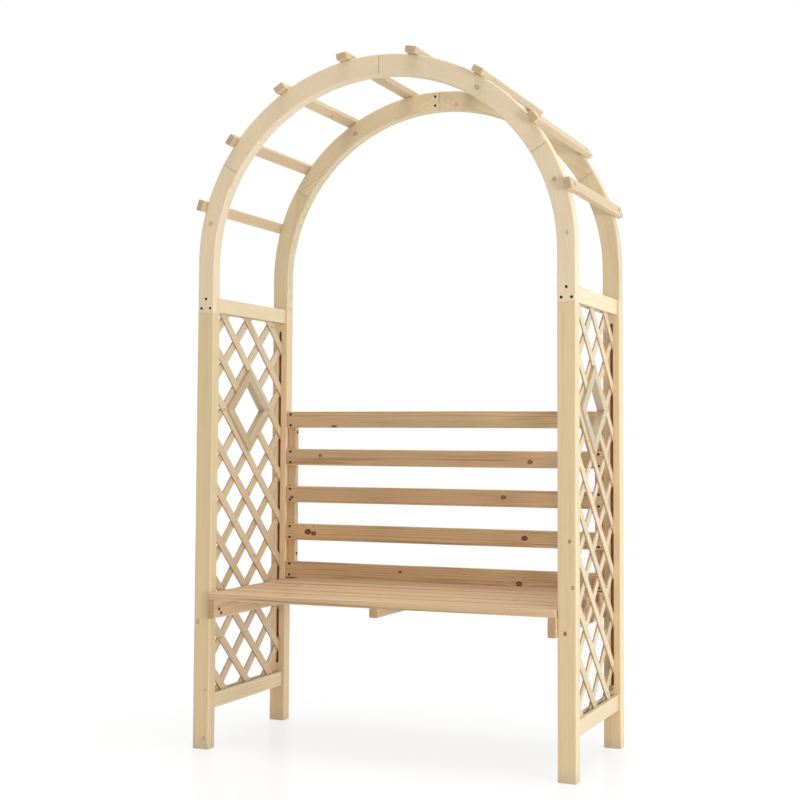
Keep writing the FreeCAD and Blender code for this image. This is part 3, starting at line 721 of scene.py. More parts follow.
def makeArchPiece(end, side, part, seed):
    # At each angle the ring lies between the inner circle about the springing point and the outer circle
    # about a point a little higher; the leg is the first ring carried straight down
    name = end + "_arch_" + side + "_" + part
    y = nodeMiddle(end + "_right_post")[1]
    depth = nodeBox(name)[1][1] - nodeBox(name)[0][1]
    angles, drops, halved = archStations(side, part)
    last, shift, insets = endOffsets(archLook["seam"], len(angles))
    angles, drops, halved = (np.pad(values, last, mode="edge") for values in (angles, drops, halved))
    sine, cosine, none = np.sin(angles), np.cos(angles), np.zeros_like(angles)
    lift = outerCentre - springing
    outer = lift * sine + np.sqrt(halfWidth ** 2 - (lift * cosine) ** 2)
    middleRadius, halfWide = (innerRadius + outer) / 2, (outer - innerRadius) / 2
    along = np.stack([-sine, none, cosine], axis=1)
    across = np.stack([cosine, none, sine], axis=1)
    centre = (across * middleRadius[:, None] + along * shift[:, None]
              + np.stack([none, none + y, springing - drops], axis=1))
    wave = np.sin(angles * archLook["waves"] + seed) * timber["roundingWave"]
    radius = np.minimum(archLook["edge"] * (1 + wave), archLook["roundLimit"] * (halfWide - insets))
    v, w, edge = ringPoints(halfWide - insets, depth / 2 - insets, radius)
    outerHalf = np.minimum(w, 0) if end == "front" else np.maximum(w, 0)
    w = np.where(halved[:, None], outerHalf, w)
    points = centre[:, None] + v[..., None] * across[:, None] + w[..., None] * np.array([0.0, 1.0, 0.0])
    mesh = meshFromRings(name + "_planed", points)
    chord = unit(centre[-1] - centre[0])
    grainAcross = np.cross((0, 1, 0), chord)
    middle = (centre[0] + centre[-1]) / 2
    knots = []
    for x, z, knotRadius in archKnots.get(name, []):
        away = np.array([x, middle[1], z]) - middle
        knots.append((float(away @ chord), float(away @ grainAcross), knotRadius))
    grainFields(mesh, points.reshape(-1, 3), (chord, grainAcross, (0, 1, 0)), middle, seed,
                np.broadcast_to(edge, v.shape).ravel(), endMask(v.shape).ravel(), knots)
    finishMesh(mesh)
    # the rear arches' darker wood is partly painted shade
    addPiece(mesh, [name], materials["archWood" if end == "front" else "rearArchWoodPaintedShade"])


archParts = [(e, s, p) for e in ("front", "rear") for s in ("left", "right") for p in ("leg", "crown")]
for number, (end, side, part) in enumerate(archParts):
    makeArchPiece(end, side, part, archLook["seed"] + number)
print("arches made")


# Rungs, each lying flat over both arches

rungLook = {"edge": 0.0026, "endEdge": 0.0018, "wide": 0.035, "thick": 0.020, "bow": 0.0006,
            "bowTurn": 2.1, "seed": 50}
rungKnots = {3: [(0.08, 0.004, 0.004)], 6: [(-0.19, -0.003, 0.0045)], 7: [(0.14, 0.0, 0.004)]}
rungNumbers = range(1, 9)
rungAngles = []
for number in rungNumbers:
    node = "arch_rung_" + str(number)
    low, high = nodeBox(node)
    x, _, z = nodeMiddle(node)
    angle = math.atan2(z - outerCentre, x)
    rungAngles.append(angle)
    across = (-math.sin(angle), 0, math.cos(angle))
    mesh = straightMember(node + "_planed", (x, low[1], z), (x, high[1], z), across, rungLook["wide"],
                          rungLook["thick"], rungLook["seed"] + number, rounding=rungLook["edge"],
                          endRounding=rungLook["endEdge"], knots=rungKnots.get(number, ()),
                          bow=(rungLook["bow"] * math.sin(number * rungLook["bowTurn"]), 0))
    finishMesh(mesh)
    addPiece(mesh, [node], materials["rungWood"])
print("rungs made")


def boardOverNode(node, along, across, seed, slotName, material, **shape):
    # A straight member that fills a node's box, lying along one axis with its width across another
    middle, size = nodeMiddle(node), nodeBox(node)[1] - nodeBox(node)[0]
    along, across = np.array(along, float), np.array(across, float)
    deep = np.cross(along, across)
    reach = along * np.dot(np.abs(along), size) / 2
    wide, thick = float(np.dot(np.abs(across), size)), float(np.dot(np.abs(deep), size))
    start, end = middle - reach, middle + reach
    mesh = straightMember(node + "_planed", start, end, across, wide, thick, seed, **shape)
    finishMesh(mesh)
    addPiece(mesh, [node], material)


# Side rails, grooved on the edge that faces the lattice

railLook = {"edge": 0.0022, "endEdge": 0.0004, "grooveHalf": 0.0052, "grooveDeep": 0.010,
            "seeds": {"left": (71, 70), "right": (73, 72)},
            "knots": {"left": (0.06, 0.006, 0.004), "right": (-0.04, 0.006, 0.004)}}
for side in ("left", "right"):
    railLength = nodeBox(side + "_top_rail")[1][1] - nodeBox(side + "_top_rail")[0][1]
    railGroove = (railLook["grooveHalf"], railLook["grooveDeep"], 0, railLength)
    topSeed, lowerSeed = railLook["seeds"][side]
    for rail, facing, seed in (("_top_rail", 1, topSeed), ("_lower_rail", -1, lowerSeed)):
        boardOverNode(side + rail, (0, 1, 0), (facing, 0, 0), seed, "side_panel_softwood",
                      materials["railWood"], rounding=railLook["edge"], endRounding=railLook["endEdge"],
                      groove=railGroove, knots=[railLook["knots"][side]])
print("rails made")


# Lattice: rising slats lie on the -X side of the middle plane and falling ones on its +X side

latticeLook = {     # slats' middle lines and the window's are counted in half diamonds from the middle
    "slatWide": 0.028, "slatThick": 0.005, "edge": 0.0009, "endEdge": 0.0003, "bow": 0.0012, "pastPost": 0.04,
    "diamondsAcross": 3, "diamondHeight": 0.142, "intoRail": 0.008, "intoPost": 0.010,
    "lines": range(-10, 11, 2), "windowLine": 4, "knotShare": 0.4, "knotAlong": 0.25, "knotAcross": 0.006,
    "knotRadius": (0.0025, 0.004),
    "windowBite": 0.006, "limbWide": 0.028, "limbThick": 0.024, "limbEdge": 0.0016, "mitreEdge": 0.0003,
    "mitreRoom": 0.03, "seeds": {"left": (100, 120, 180), "right": (140, 160, 190)},
}
panelBottom = nodeBox("left_lower_rail")[1][2]
panelTop = nodeBox("left_top_rail")[0][2]
postFace = nodeBox("rear_left_post")[0][1]
halfPitchY = postFace / latticeLook["diamondsAcross"]
halfPitchZ = latticeLook["diamondHeight"] / 2
slope = math.atan2(halfPitchZ, halfPitchY)
latticeMiddle = (panelBottom + panelTop) / 2
windowMiddle = latticeMiddle + latticeLook["windowLine"] * halfPitchZ
boundingEdge = 2 * halfPitchZ * math.cos(slope) - latticeLook["slatWide"] / 2


def panelMiddleX(side):
    return nodeMiddle("front_" + side + "_post")[0]


def makeLatticeLayer(side, rising, seed):
    # Each slat's middle line climbs or falls at the same slope through a point on the panel's middle line,
    # and is cut off by the planes inside the grooves and by the sides of the window
    sign = 1 if rising else -1
    name = side + "_lattice_" + ("rising" if rising else "falling") + "_slats"
    x = panelMiddleX(side) - sign * latticeLook["slatThick"] / 2
    along = np.array([0, math.cos(slope), sign * math.sin(slope)])
    across = np.array([0, -sign * math.sin(slope), math.cos(slope)])
    reach = (postFace + latticeLook["pastPost"]) / math.cos(slope)
    grooveFloor = postFace + latticeLook["intoPost"]
    endPlanes = [((0, 0, 1), panelTop + latticeLook["intoRail"]), ((0, 1, 0), grooveFloor),
                 ((0, 0, -1), -panelBottom + latticeLook["intoRail"]), ((0, -1, 0), grooveFloor)]
    normal = np.array([0, sign * math.sin(slope), math.cos(slope)])
    windowAt = float(normal @ (0, 0, windowMiddle))
    windowPlanes = [(normal, windowAt - boundingEdge), (-normal, -windowAt - boundingEdge)]
    slats = []
    for line in latticeLook["lines"]:
        middle = np.array([x, 0, latticeMiddle + line * halfPitchZ])
        extra = [[plane] for plane in windowPlanes] if line == latticeLook["windowLine"] else [[]]
        for planes in extra:
            chance = np.random.default_rng(seed + 7 * len(slats))
            far, aside = latticeLook["knotAlong"], latticeLook["knotAcross"]
            knot = (chance.uniform(-far, far), chance.uniform(-aside, aside),
                    chance.uniform(*latticeLook["knotRadius"]))
            slats.append(straightMember(
                name, middle - along * reach, middle + along * reach, across, latticeLook["slatWide"],
                latticeLook["slatThick"], seed + len(slats), rounding=latticeLook["edge"],
                endRounding=latticeLook["endEdge"], bow=(latticeLook["bow"] * chance.uniform(-1, 1), 0),
                # the slats' narrow sides carry painted shade
                cuts=endPlanes + planes, paintedSideShade=True,
                knots=[knot] if chance.random() < latticeLook["knotShare"] else ()))
    mesh = joinMeshes(name + "_planed", slats)
    finishMesh(mesh, weld=1e-7)
    addPiece(mesh, [name], materials["latticeWood"])


def makeWindow(side, seed):
    # Four limbs along the sides of a diamond, mitred where its upright and level middle planes pass
    distance = boundingEdge + latticeLook["windowBite"] - latticeLook["limbWide"] / 2
    tall, broad = distance / math.cos(slope), distance / math.sin(slope)
    x = panelMiddleX(side)
    corners = np.array([(x, 0, windowMiddle + tall), (x, broad, windowMiddle),
                        (x, 0, windowMiddle - tall), (x, -broad, windowMiddle)])
    for corner, limb in enumerate(("upper_rear", "lower_rear", "lower_front", "upper_front")):
        start, end = corners[corner], corners[(corner + 1) % 4]
        along = unit(end - start)
        past = along * latticeLook["mitreRoom"]
        rear = 1 if "rear" in limb else -1
        upper = 1 if "upper" in limb else -1
        node = side + "_window_" + limb
        mesh = straightMember(node + "_planed", start - past, end + past, np.cross((1, 0, 0), along),
                              latticeLook["limbWide"], latticeLook["limbThick"], seed + corner,
                              rounding=latticeLook["limbEdge"], endRounding=latticeLook["mitreEdge"],
                              cuts=[((0, -rear, 0), 0.0), ((0, 0, -upper), -upper * windowMiddle)])
        finishMesh(mesh)
        # the limbs' darker wood is partly painted shade
        addPiece(mesh, [node], materials["limbWoodPaintedShade"])


for side, (risingSeed, fallingSeed, windowSeed) in latticeLook["seeds"].items():
    makeLatticeLayer(side, True, risingSeed)
    makeLatticeLayer(side, False, fallingSeed)
    makeWindow(side, windowSeed)
print("lattice and windows made")


# Seat boards, bearers and joist

seatLook = {"edge": 0.0024, "endEdge": 0.0018, "cup": -0.0006, "bow": -0.0005, "bearerEdge": 0.0010,
            "bearerCorner": 4.5, "cupTurn": 1.7, "bearerKnot": (0.10, 0.004, 0.006), "seed": 200,
            "bearerSeed": 210, "joistSeed": 213}
seatKnots = {       # on every board: place along it from its middle, place across it, and radius
    1: [(0.213, 0.0245, 0.0042), (0.423, -0.034, 0.0040), (-0.30, -0.01, 0.006)],
    2: [(-0.05, 0.02, 0.007)], 3: [(0.36, -0.012, 0.008)], 4: [(-0.41, 0.015, 0.006)],
    5: [(0.12, 0.004, 0.008)], 6: [(0.47, 0.0, 0.006)]}


def seatCup(number):
    # from none to the whole cup, by a sine of the board's number
    return seatLook["cup"] * (0.5 + 0.5 * math.sin(number * seatLook["cupTurn"]))


# a board's edges next to another board get painted shade for the gap between them
for number in seatKnots:
    boardOverNode("seat_board_" + str(number), (1, 0, 0), (0, 1, 0), seatLook["seed"] + number,
                  "seat_softwood", materials["seatWood"], rounding=seatLook["edge"],
                  endRounding=seatLook["endEdge"], cup=seatCup(number), bow=(0, seatLook["bow"]),
                  knots=seatKnots[number], gapSides=[side for side in (-1, 1) if number + side in seatKnots])
for number, side in enumerate(("left", "right")):
    # the lower corner on the inner face is rounder than the rest
    corners = [1.0, 1.0, 1.0, 1.0]
    corners[number] = seatLook["bearerCorner"]
    boardOverNode(side + "_seat_bearer", (0, 1, 0), (1, 0, 0), seatLook["bearerSeed"] + number,
                  "seat_softwood", materials["bearerWood"], rounding=seatLook["bearerEdge"], corners=corners,
                  knots=[seatLook["bearerKnot"]])
boardOverNode("seat_joist", (0, 1, 0), (1, 0, 0), seatLook["joistSeed"], "seat_softwood",
              materials["bearerWood"], rounding=seatLook["edge"])
print("seat made")


# Back slats, and the battens behind their ends

backLook = {"edge": 0.0020, "endEdge": 0.0016, "bow": 0.0008, "seeds": (221, 232, 223, 244, 233),
            "battenSeed": 230, "battenKnot": (0.12, 0.003, 0.004), "bowTurn": 2.3}
backKnots = {       # as on the seat, and sometimes how dark it is; slats are counted from the lowest
    1: [(-0.370, -0.027, 0.008)], 2: [(0.31, -0.008, 0.006), (-0.42, 0.005, 0.004)],
    3: [(-0.524, -0.010, 0.0045), (0.222, 0.004, 0.006)],
    4: [(-0.463, 0.001, 0.008, 1.3), (-0.442, -0.004, 0.006, 1.3), (0.292, 0.002, 0.0070, 1.2)],
    5: [(0.274, -0.016, 0.0070, 1.1), (-0.13, 0.006, 0.004)]}
for number, seed in zip(backKnots, backLook["seeds"]):
    boardOverNode("back_slat_" + str(number), (1, 0, 0), (0, 0, 1), seed, "back_softwood",
                  materials["backWood"], rounding=backLook["edge"], endRounding=backLook["endEdge"],
                  bow=(backLook["bow"] * math.sin(number * backLook["bowTurn"]), 0),
                  knots=backKnots[number])
for number, side in enumerate(("left", "right")):
    boardOverNode(side + "_back_batten", (0, 0, 1), (1, 0, 0), backLook["battenSeed"] + number,
                  "back_softwood", materials["backWood"], rounding=backLook["edge"],
                  endRounding=backLook["endEdge"], knots=[backLook["battenKnot"]])
print("back made")


# Screw and nail heads

headLook = {        # radius, arm and half width of the cross recess, its depth, and how far the skirt sinks
    "flat": {"radius": 0.0045, "arm": 0.0028, "slot": 0.00065, "recess": 0.00042, "skirt": 0.0010,
             "profile": ((0.88, 0.0005), (1.0, -0.0001))},
    "pan": {"radius": 0.0048, "arm": 0.0026, "slot": 0.00065, "recess": 0.0014, "skirt": 0.0010,
            "profile": ((0.74, 0.0026), (0.93, 0.0019), (1.0, 0.0008))},
}
domeLook = {"nail": {"radius": 0.0018, "proud": 0.0004, "skirt": 0.0006, "sides": 10},
            "filled": {"radius": 0.0046, "proud": 0.00012, "skirt": 0.0006, "sides": 16}}
metalLook = {"darkScrew": {"colour": (40, 26, 18), "worn": (78, 56, 40), "metallic": 0.10, "roughness": 0.45},
             "bronzedScrew": {"colour": (104, 70, 42), "worn": (150, 112, 74), "metallic": 0.3,
                              "roughness": 0.4},
             "nailSteel": {"colour": (150, 144, 132), "worn": (96, 78, 60), "metallic": 0.65,
                           "roughness": 0.35}}
coatLook = {        # waves per metre of two noises, where they rub through, and how much each mark shows
    # the crevice colour is painted shade in the recess and round the rim of a head
    "fine": 900.0, "patch": 240.0, "rubbed": (0.72, 0.98), "toneLevel": 0.15, "crevice": (22, 15, 10),
    "creviceShare": 0.85, "specular": 0.3, "rubbedMetal": 0.3, "fineDull": 0.3,
}
fillerLook = {"colour": (196, 162, 122), "rim": (160, 122, 84), "grit": 700.0}
beechLook = {"early": (206, 172, 124), "late": (176, 138, 94), "fleck": (128, 90, 56),
             "fibres": (900.0, 60.0, 900.0), "flecks": (1500.0, 260.0, 1500.0)}


def screwRings(look):
    # Rings from the middle outwards: the floor and the top of a cross recess, the profile as shares of the
    # radius with their heights, and the skirt; the second array is the share of painted shade at each ring
    arm, slot, radius = look["arm"], look["slot"], look["radius"]
    quarter = np.array([(arm, slot), (slot, slot), (slot, arm)])
    cross = np.concatenate([quarter, quarter[::-1] * (-1, 1), quarter * (-1, -1), quarter[::-1] * (1, -1)])
    circle = radius * cross / np.linalg.norm(cross, axis=1)[:, None]
    top = look["profile"][0][1]
    rings = [(cross * 0.8, top - look["recess"]), (cross, top)]
    rings += [(circle * share, height) for share, height in look["profile"]] + [(circle, -look["skirt"])]
    shade = [1.0, 0.0] + [0.0] * (len(look["profile"]) - 1) + [0.4, 1.0]
    return np.array([[(x, y, z) for x, y in ring] for ring, z in rings]), np.array(shade)


def domeRings(look):
    # A low dome: rings on a circle arc, then a skirt into the wood; the second array darkens towards the rim,
    # painted shade on nail heads and the darker ring on filled screws
    turns = np.arange(look["sides"]) * 2 * math.pi / look["sides"]
    circle = np.stack([np.cos(turns), np.sin(turns)], axis=1) * look["radius"]
    shares = ((0.35, 1.0), (0.75, 0.7), (1.0, 0.0))
    rings = [(circle * wide, look["proud"] * high) for wide, high in shares] + [(circle, -look["skirt"])]
    return np.array([[(x, y, z) for x, y in ring] for ring, z in rings]), np.array([0.0, 0.2, 0.8, 1.0])


def makeHeads(name, pattern, spots, node, material, seed):
    # One copy of the rings at each spot, turned to its outward direction and by chance about it
    rings, shade = pattern
    chance = np.random.default_rng(seed)
    places = np.array([place for place, _ in spots], float)
    normals = np.array([outward for _, outward in spots], float)
    normals /= np.linalg.norm(normals, axis=1)[:, None]
    helper = np.where(np.abs(normals[:, 2:]) < 0.9, [[0.0, 0.0, 1.0]], [[1.0, 0.0, 0.0]])
    side = np.cross(helper, normals)
    side /= np.linalg.norm(side, axis=1)[:, None]
    other = np.cross(normals, side)
    turn = chance.uniform(0, 2 * math.pi, len(spots))[:, None]
    first = side * np.cos(turn) + other * np.sin(turn)
    second = other * np.cos(turn) - side * np.sin(turn)
    local = rings.reshape(-1, 3)
    points = (places[:, None] + local[None, :, :1] * first[:, None] + local[None, :, 1:2] * second[:, None]
              + local[None, :, 2:] * normals[:, None])
    ringCount, count, _ = rings.shape
    index = np.arange(ringCount * count).reshape(ringCount, count)
    after = np.roll(index, -1, axis=1)
    quads = np.stack([index[:-1], index[1:], after[1:], after[:-1]], axis=-1).reshape(-1, 4)
    faces = []
    for copy in range(len(spots)):
        start = copy * ringCount * count
        faces += (quads + start).tolist() + [(index[0] + start).tolist(), (index[-1][::-1] + start).tolist()]
    mesh = bpy.data.meshes.new(name)
    mesh.from_pydata(points.reshape(-1, 3).tolist(), [], faces)
    writeField(mesh, "crevice", "FLOAT", np.tile(np.repeat(shade, count), len(spots)))
    writeField(mesh, "boardTone", "FLOAT", np.repeat(chance.uniform(-1, 1, len(spots)), ringCount * count))
    mesh.polygons.foreach_set("use_smooth", [True] * len(mesh.polygons))
    mesh.set_sharp_from_angle(angle=math.radians(30))
    addPiece(mesh, [node], material)


def metalMaterial(name):
    # A coat over steel, rubbed through where two noises add up, with painted shade in its recess and round
    # its rim
    look = metalLook[name]
    material, bench, shader = newMaterial(name)
    place = bench.objectPlace()
    fine = bench.noise(place, 3.0, 0.6, scale=coatLook["fine"])
    patch = bench.noise(place, 2.0, 0.5, scale=coatLook["patch"])
    rubbed = bench.smooth(bench.math("MULTIPLY_ADD", patch, 0.5, fine), *coatLook["rubbed"])
    tone = bench.math("MULTIPLY_ADD", bench.attribute("boardTone", "Fac"), coatLook["toneLevel"], 1.0)
    surface = bench.vector("SCALE", bench.mix(rubbed, srgb(*look["colour"]), srgb(*look["worn"])), scale=tone)
    # painted shade in the cross recess and round the rim of the head
    crevice = bench.math("MULTIPLY", bench.attribute("crevice", "Fac"), coatLook["creviceShare"])
    metallic = bench.math("MULTIPLY_ADD", rubbed, coatLook["rubbedMetal"], look["metallic"])
    dull = bench.math("MULTIPLY_ADD", fine, coatLook["fineDull"], look["roughness"])
    surface = bench.mix(crevice, surface, srgb(*coatLook["crevice"]))
    bench.feedAll(shader.inputs, {"Base Color": surface, "Specular IOR Level": coatLook["specular"],
                                  "Metallic": metallic, "Roughness": dull})
    addBump(bench, shader, fine, 0.3, 0.0001)
    return material


def fillerMaterial(name):
    # Wood filler over a sunk screw: near the wood's colour, chalky, with a darker ring at the board
    material, bench, shader = newMaterial(name)
    place = bench.objectPlace()
    fine = bench.noise(place, 3.0, 0.6, scale=fillerLook["grit"])
    tone = bench.math("MULTIPLY_ADD", bench.attribute("boardTone", "Fac"), 0.08, 0.95)
    tone = bench.math("MULTIPLY_ADD", fine, 0.1, tone)
    middle, rim = srgb(*fillerLook["colour"]), srgb(*fillerLook["rim"])
    surface = bench.mix(bench.attribute("crevice", "Fac"), middle, rim)
    bench.feedAll(shader.inputs, {"Base Color": bench.vector("SCALE", surface, scale=tone),
                                  "Roughness": bench.math("MULTIPLY_ADD", fine, 0.2, 0.6)})
    addBump(bench, shader, fine, 0.3, 0.0002)
    return material


def beechMaterial(name):
    # Dowels: close straight fibres with short dark flecks
    material, bench, shader = newMaterial(name)
    place = bench.objectPlace()
    fibre = bench.noise(bench.vector("MULTIPLY", place, beechLook["fibres"]), 3.0, 0.6)
    fleck = bench.noise(bench.vector("MULTIPLY", place, beechLook["flecks"]), 1.0)
    wood = bench.mix(bench.smooth(fibre, 0.35, 0.7), srgb(*beechLook["early"]), srgb(*beechLook["late"]))
    dark = bench.math("MULTIPLY", bench.smooth(fleck, 0.62, 0.7), 0.5)
    bench.feedAll(shader.inputs, {"Base Color": bench.mix(dark, wood, srgb(*beechLook["fleck"])),
                                  "Roughness": bench.math("MULTIPLY_ADD", fibre, 0.2, 0.5)})
    addBump(bench, shader, fibre, 0.3, 0.0002)
    return material


for name in metalLook:
    materials[name] = metalMaterial(name)
materials["woodFiller"], materials["beech"] = fillerMaterial("woodFiller"), beechMaterial("beech")
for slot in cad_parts["wooden_dowels"].material_slots:
    slot.material = materials["beech"]

fixings = {         # spreads are between the two screws of a pair, rises and drops from the piece's edge
    "jointSpread": 0.030, "jointRise": 0.015, "jointDrop": 0.006, "crownSide": -0.014, "crownSpread": 0.030,
    "slatSpread": 0.036, "boardSpread": 0.054, "battenRise": 0.082, "battenDrop": 0.060,
    "bearerSlant": 0.013, "bearerDrop": 0.007, "pastPostFace": 0.020, "nailRoom": 0.010,
}
ends = (("front", -1), ("rear", 1))
sides = (("left", -1), ("right", 1))
pair = (-0.5, 0.5)


# Each list of spots holds the places of the heads' outer faces with their outward directions

def jointSpots():
    # three in a triangle at each half-lap joint, on the post's outer face
    spots = []
    low, high = jointHeight + fixings["jointRise"], postTop - fixings["jointDrop"]
    for end, away in ends:
        for side, _ in sides:
            post = end + "_" + side + "_post"
            x, face = nodeMiddle(post)[0], nodeBox(post)[0 if away < 0 else 1][1]
            for shift, height in ((-0.5, low), (0.5, low), (0, high)):
                spots.append(((x + shift * fixings["jointSpread"], face, height), (0, away, 0)))
    return spots


def crownSpots():
    height = archTop - archLook["crownBand"] / 2
    return [((fixings["crownSide"], away * postFace, height + half * fixings["crownSpread"]), (0, -away, 0))
            for _, away in ends for half in pair]


def rungSpots():
    # on the rung's top face, over the middle of each arch
    spots = []
    for _, away in ends:
        for number, angle in zip(rungNumbers, rungAngles):
            out = np.array([math.cos(angle), 0, math.sin(angle)])
            place = nodeMiddle("arch_rung_" + str(number)) * (1, 0, 1) + out * rungLook["thick"] / 2
            spots.append((place + (0, away * (postFace + fixings["pastPostFace"]), 0), out))
    return spots


def slatSpots():
    spots = []
    for side, _ in sides:
        x = nodeMiddle(side + "_back_batten")[0]
        for number in backKnots:
            slat = "back_slat_" + str(number)
            face, height = nodeBox(slat)[0][1], nodeMiddle(slat)[2]
            spots += [((x, face, height + half * fixings["slatSpread"]), (0, -1, 0)) for half in pair]
    return spots


def bearerAndBattenSpots():
    # two on each batten's inner face, and a slanting pair at each end of a bearer's inner face
    spots = []
    for side, sign in sides:
        low, high = nodeBox(side + "_back_batten")
        inner = low[0] if sign > 0 else high[0]
        for height in (low[2] + fixings["battenRise"], high[2] - fixings["battenDrop"]):
            spots.append(((inner, (low[1] + high[1]) / 2, height), (-sign, 0, 0)))
        low, high = nodeBox(side + "_seat_bearer")
        inner = low[0] if sign > 0 else high[0]
        height = (low[2] + high[2]) / 2 - fixings["bearerDrop"]
        for _, away in ends:
            for half in pair:
                slant = half * fixings["bearerSlant"]
                y = away * (postFace + fixings["pastPostFace"]) + slant
                spots.append(((inner, y, height - slant), (-sign, 0, 0)))
    return spots


def boardSpots():
    # on the seat boards' tops as these are cupped and bowed, over both bearers and the joist
    spots = []
    bearerMiddle = nodeMiddle("right_seat_bearer")[0]
    for number in seatKnots:
        low, high = nodeBox("seat_board_" + str(number))
        for x in (-bearerMiddle, 0, bearerMiddle):
            for half in pair:
                shift = half * fixings["boardSpread"]
                top = high[2] + seatCup(number) * (1 - (2 * shift / (high[1] - low[1])) ** 2)
                top += seatLook["bow"] * math.sin(math.pi * (x - low[0]) / (high[0] - low[0]))
                spots.append(((x, (low[1] + high[1]) / 2 + shift, top), (0, 0, 1)))
    return spots


def nailSpots():
    # Crossings of the slats on the +X face of each lattice, clear of the rails and the window
    spots = []
    lastRow = int(((panelTop - panelBottom) / 2 - fixings["nailRoom"]) / halfPitchZ)
    for side in ("left", "right"):
        face = panelMiddleX(side) + latticeLook["slatThick"]
        for row in range(-lastRow, lastRow + 1):
            for column in range(1 - latticeLook["diamondsAcross"], latticeLook["diamondsAcross"]):
                inWindow = row == latticeLook["windowLine"] and column == 0
                if (row + column) % 2 == 0 and not inWindow:
                    place = (face, column * halfPitchY, latticeMiddle + row * halfPitchZ)
                    spots.append((place, (1, 0, 0)))
    return spots


flatHeads = (("arch_joint_screws", jointSpots, 300), ("arch_crown_screws", crownSpots, 301),
             ("arch_rung_screws", rungSpots, 302), ("back_slat_screws", slatSpots, 303))
for node, findSpots, seed in flatHeads:
    makeHeads(node + "_heads", screwRings(headLook["flat"]), findSpots(), node,
              materials["darkScrew"], seed)
makeHeads("bearer_and_batten_screws_heads", screwRings(headLook["pan"]), bearerAndBattenSpots(),
          "bearer_and_batten_screws", materials["bronzedScrew"], 304)
makeHeads("seat_board_screws_filled", domeRings(domeLook["filled"]), boardSpots(), "seat_board_screws",
          materials["woodFiller"], 305)
makeHeads("lattice_nails_heads", domeRings(domeLook["nail"]), nailSpots(), "lattice_nails",
          materials["nailSteel"], 310)
print("screws and nails made")


# Camera, from a fit of the photograph's view

cameraLook = {
    "place": (1.7047, -4.2905, 0.9432),
    "yaw": 0.3860, "pitch": -0.0598, "roll": 0.0052,
    "focalPixels": 1491.8, "imagePixels": 800, "sensor": 36.0, "horizonShift": -51.55,
}


def placeCamera():
    yaw, pitch, roll = cameraLook["yaw"], cameraLook["pitch"], cameraLook["roll"]
    forward = np.array([-math.sin(yaw) * math.cos(pitch), math.cos(yaw) * math.cos(pitch), -math.sin(pitch)])
    right = np.array([math.cos(yaw), math.sin(yaw), 0])
    up = np.cross(right, forward)
    rolledRight = right * math.cos(roll) + up * math.sin(roll)
    rolledUp = up * math.cos(roll) - right * math.sin(roll)
    camera = bpy.data.cameras.new("photoCamera")
    camera.sensor_width = cameraLook["sensor"]
    camera.lens = cameraLook["focalPixels"] * cameraLook["sensor"] / cameraLook["imagePixels"]
    camera.shift_y = cameraLook["horizonShift"] / cameraLook["imagePixels"]
    holder = bpy.data.objects.new("photoCamera", camera)
    turned = Matrix((rolledRight, rolledUp, -forward)).transposed().to_4x4()
    holder.matrix_world = Matrix.Translation(cameraLook["place"]) @ turned
    bpy.context.scene.collection.objects.link(holder)
    bpy.context.scene.camera = holder


placeCamera()


# Floor, world and lamps

lightLook = {
    "world": 0.65, "worldColour": (1.0, 0.995, 0.985),
    "key": 172.0, "keyPlace": (5.9, -3.3, 0.75), "keySize": 1.3, "keyColour": (0.91, 0.955, 1.0),
    "side": 122.0, "sidePlace": (5.6, 0.7, 1.2), "sideSize": 2.4, "sideColour": (0.50, 0.78, 1.0),
    "top": 268.0, "topPlace": (0.6, -0.5, 7.0), "topSize": 4.2, "topColour": (1.0, 0.985, 0.96),
    "aim": (0, 0, 0.9),
    "floorColour": (0.94, 0.94, 0.94, 1), "floorPatch": (0.82, 0.82, 0.82, 1), "patchShare": 0.06,
    "patchWaves": 1.3, "floorReach": 30.0, "floorRoughness": 0.22, "floorSpecular": 0.5,
    "floorWhite": 0.73, "fadeFrom": 0.5, "fadeTo": 1.7,
}


def addLamp(name):
    lamp = bpy.data.lights.new(name, "AREA")
    lamp.shape = "DISK"
    lamp.size = lightLook[name + "Size"]
    lamp.energy = lightLook[name]
    lamp.color = lightLook[name + "Colour"]
    holder = bpy.data.objects.new(name, lamp)
    holder.location = lightLook[name + "Place"]
    holder.rotation_mode = "QUATERNION"
    towards = Vector(lightLook["aim"]) - holder.location
    holder.rotation_quaternion = towards.to_track_quat("-Z", "Y")
    bpy.context.scene.collection.objects.link(holder)


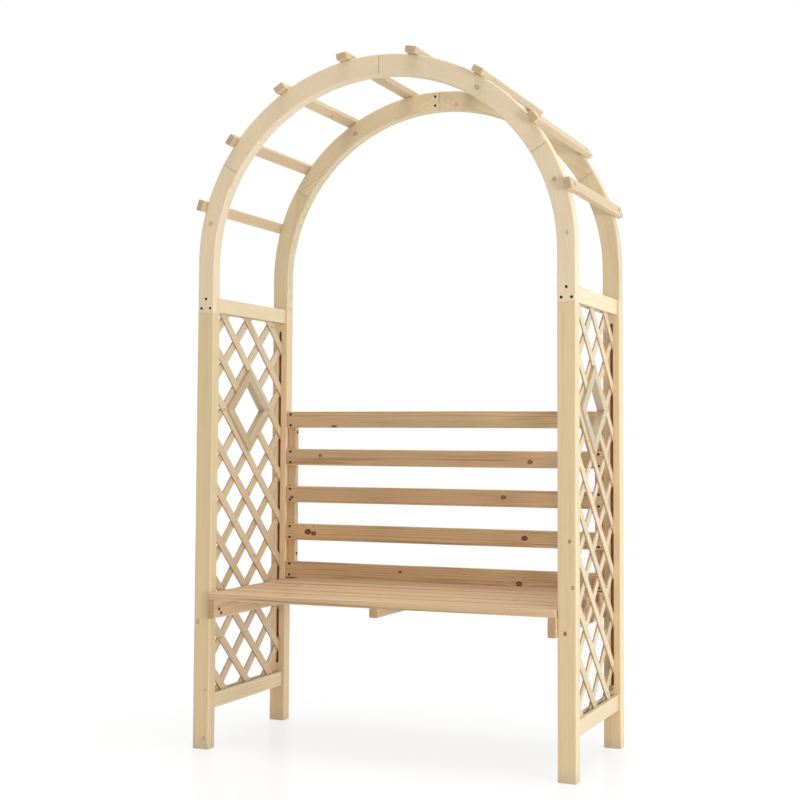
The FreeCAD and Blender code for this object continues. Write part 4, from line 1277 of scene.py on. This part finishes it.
def seenDirectly(bench):
    # 1 for camera, glossy and transmitted rays, 0 for the rays that light the object
    path = bench.add("ShaderNodeLightPath")
    seen = bench.math("MAXIMUM", path.outputs["Is Camera Ray"], path.outputs["Is Glossy Ray"])
    return bench.math("MAXIMUM", seen, path.outputs["Is Transmission Ray"])


def makeWorld():
    world = bpy.data.worlds.new("studio")
    world.use_nodes = True
    bpy.context.scene.world = world
    tree = world.node_tree
    bench = Bench(tree)
    tree.nodes.clear()
    soft, white = bench.add("ShaderNodeBackground"), bench.add("ShaderNodeBackground")
    bench.feedAll(soft.inputs, {"Color": (*lightLook["worldColour"], 1), "Strength": lightLook["world"]})
    bench.feed(white.inputs["Color"], (1, 1, 1, 1))
    shown = bench.mixShader(seenDirectly(bench), soft.outputs[0], white.outputs[0])
    bench.feed(bench.add("ShaderNodeOutputWorld").inputs["Surface"], shown)


def makeFloor():
    reach = lightLook["floorReach"]
    mesh = bpy.data.meshes.new("floor")
    corners = [(x * reach, y * reach, 0) for x, y in ((-1, -1), (1, -1), (1, 1), (-1, 1))]
    mesh.from_pydata(corners, [], [(0, 1, 2, 3)])
    floor = bpy.data.objects.new("floor", mesh)
    bpy.context.scene.collection.objects.link(floor)
    material, bench, shader = newMaterial("paleFloor")
    place = bench.objectPlace()
    speckle = bench.noise(place, 2.0, 0.5, scale=lightLook["patchWaves"])
    patches = bench.math("MULTIPLY", speckle, lightLook["patchShare"])
    pale = bench.mix(patches, lightLook["floorColour"], lightLook["floorPatch"])
    bench.feedAll(shader.inputs, {"Base Color": pale, "Roughness": lightLook["floorRoughness"],
                                  "Specular IOR Level": lightLook["floorSpecular"]})
    away = bench.vector("LENGTH", place)
    # the floor shows mostly as white to the camera, and wholly so further off, so its shadows stay faint
    fade = bench.smooth(away, lightLook["fadeFrom"], lightLook["fadeTo"], lightLook["floorWhite"], 1.0)
    fade = bench.math("MULTIPLY", fade, seenDirectly(bench))
    shown = bench.mixShader(fade, shader.outputs[0], bench.add("ShaderNodeEmission").outputs[0])
    bench.feed(material.node_tree.nodes["Material Output"].inputs["Surface"], shown)
    mesh.materials.append(material)


makeWorld()
makeFloor()
for name in ("key", "side", "top"):
    addLamp(name)
bpy.context.scene.view_settings.view_transform = "Standard"
print("camera, floor and lamps made")
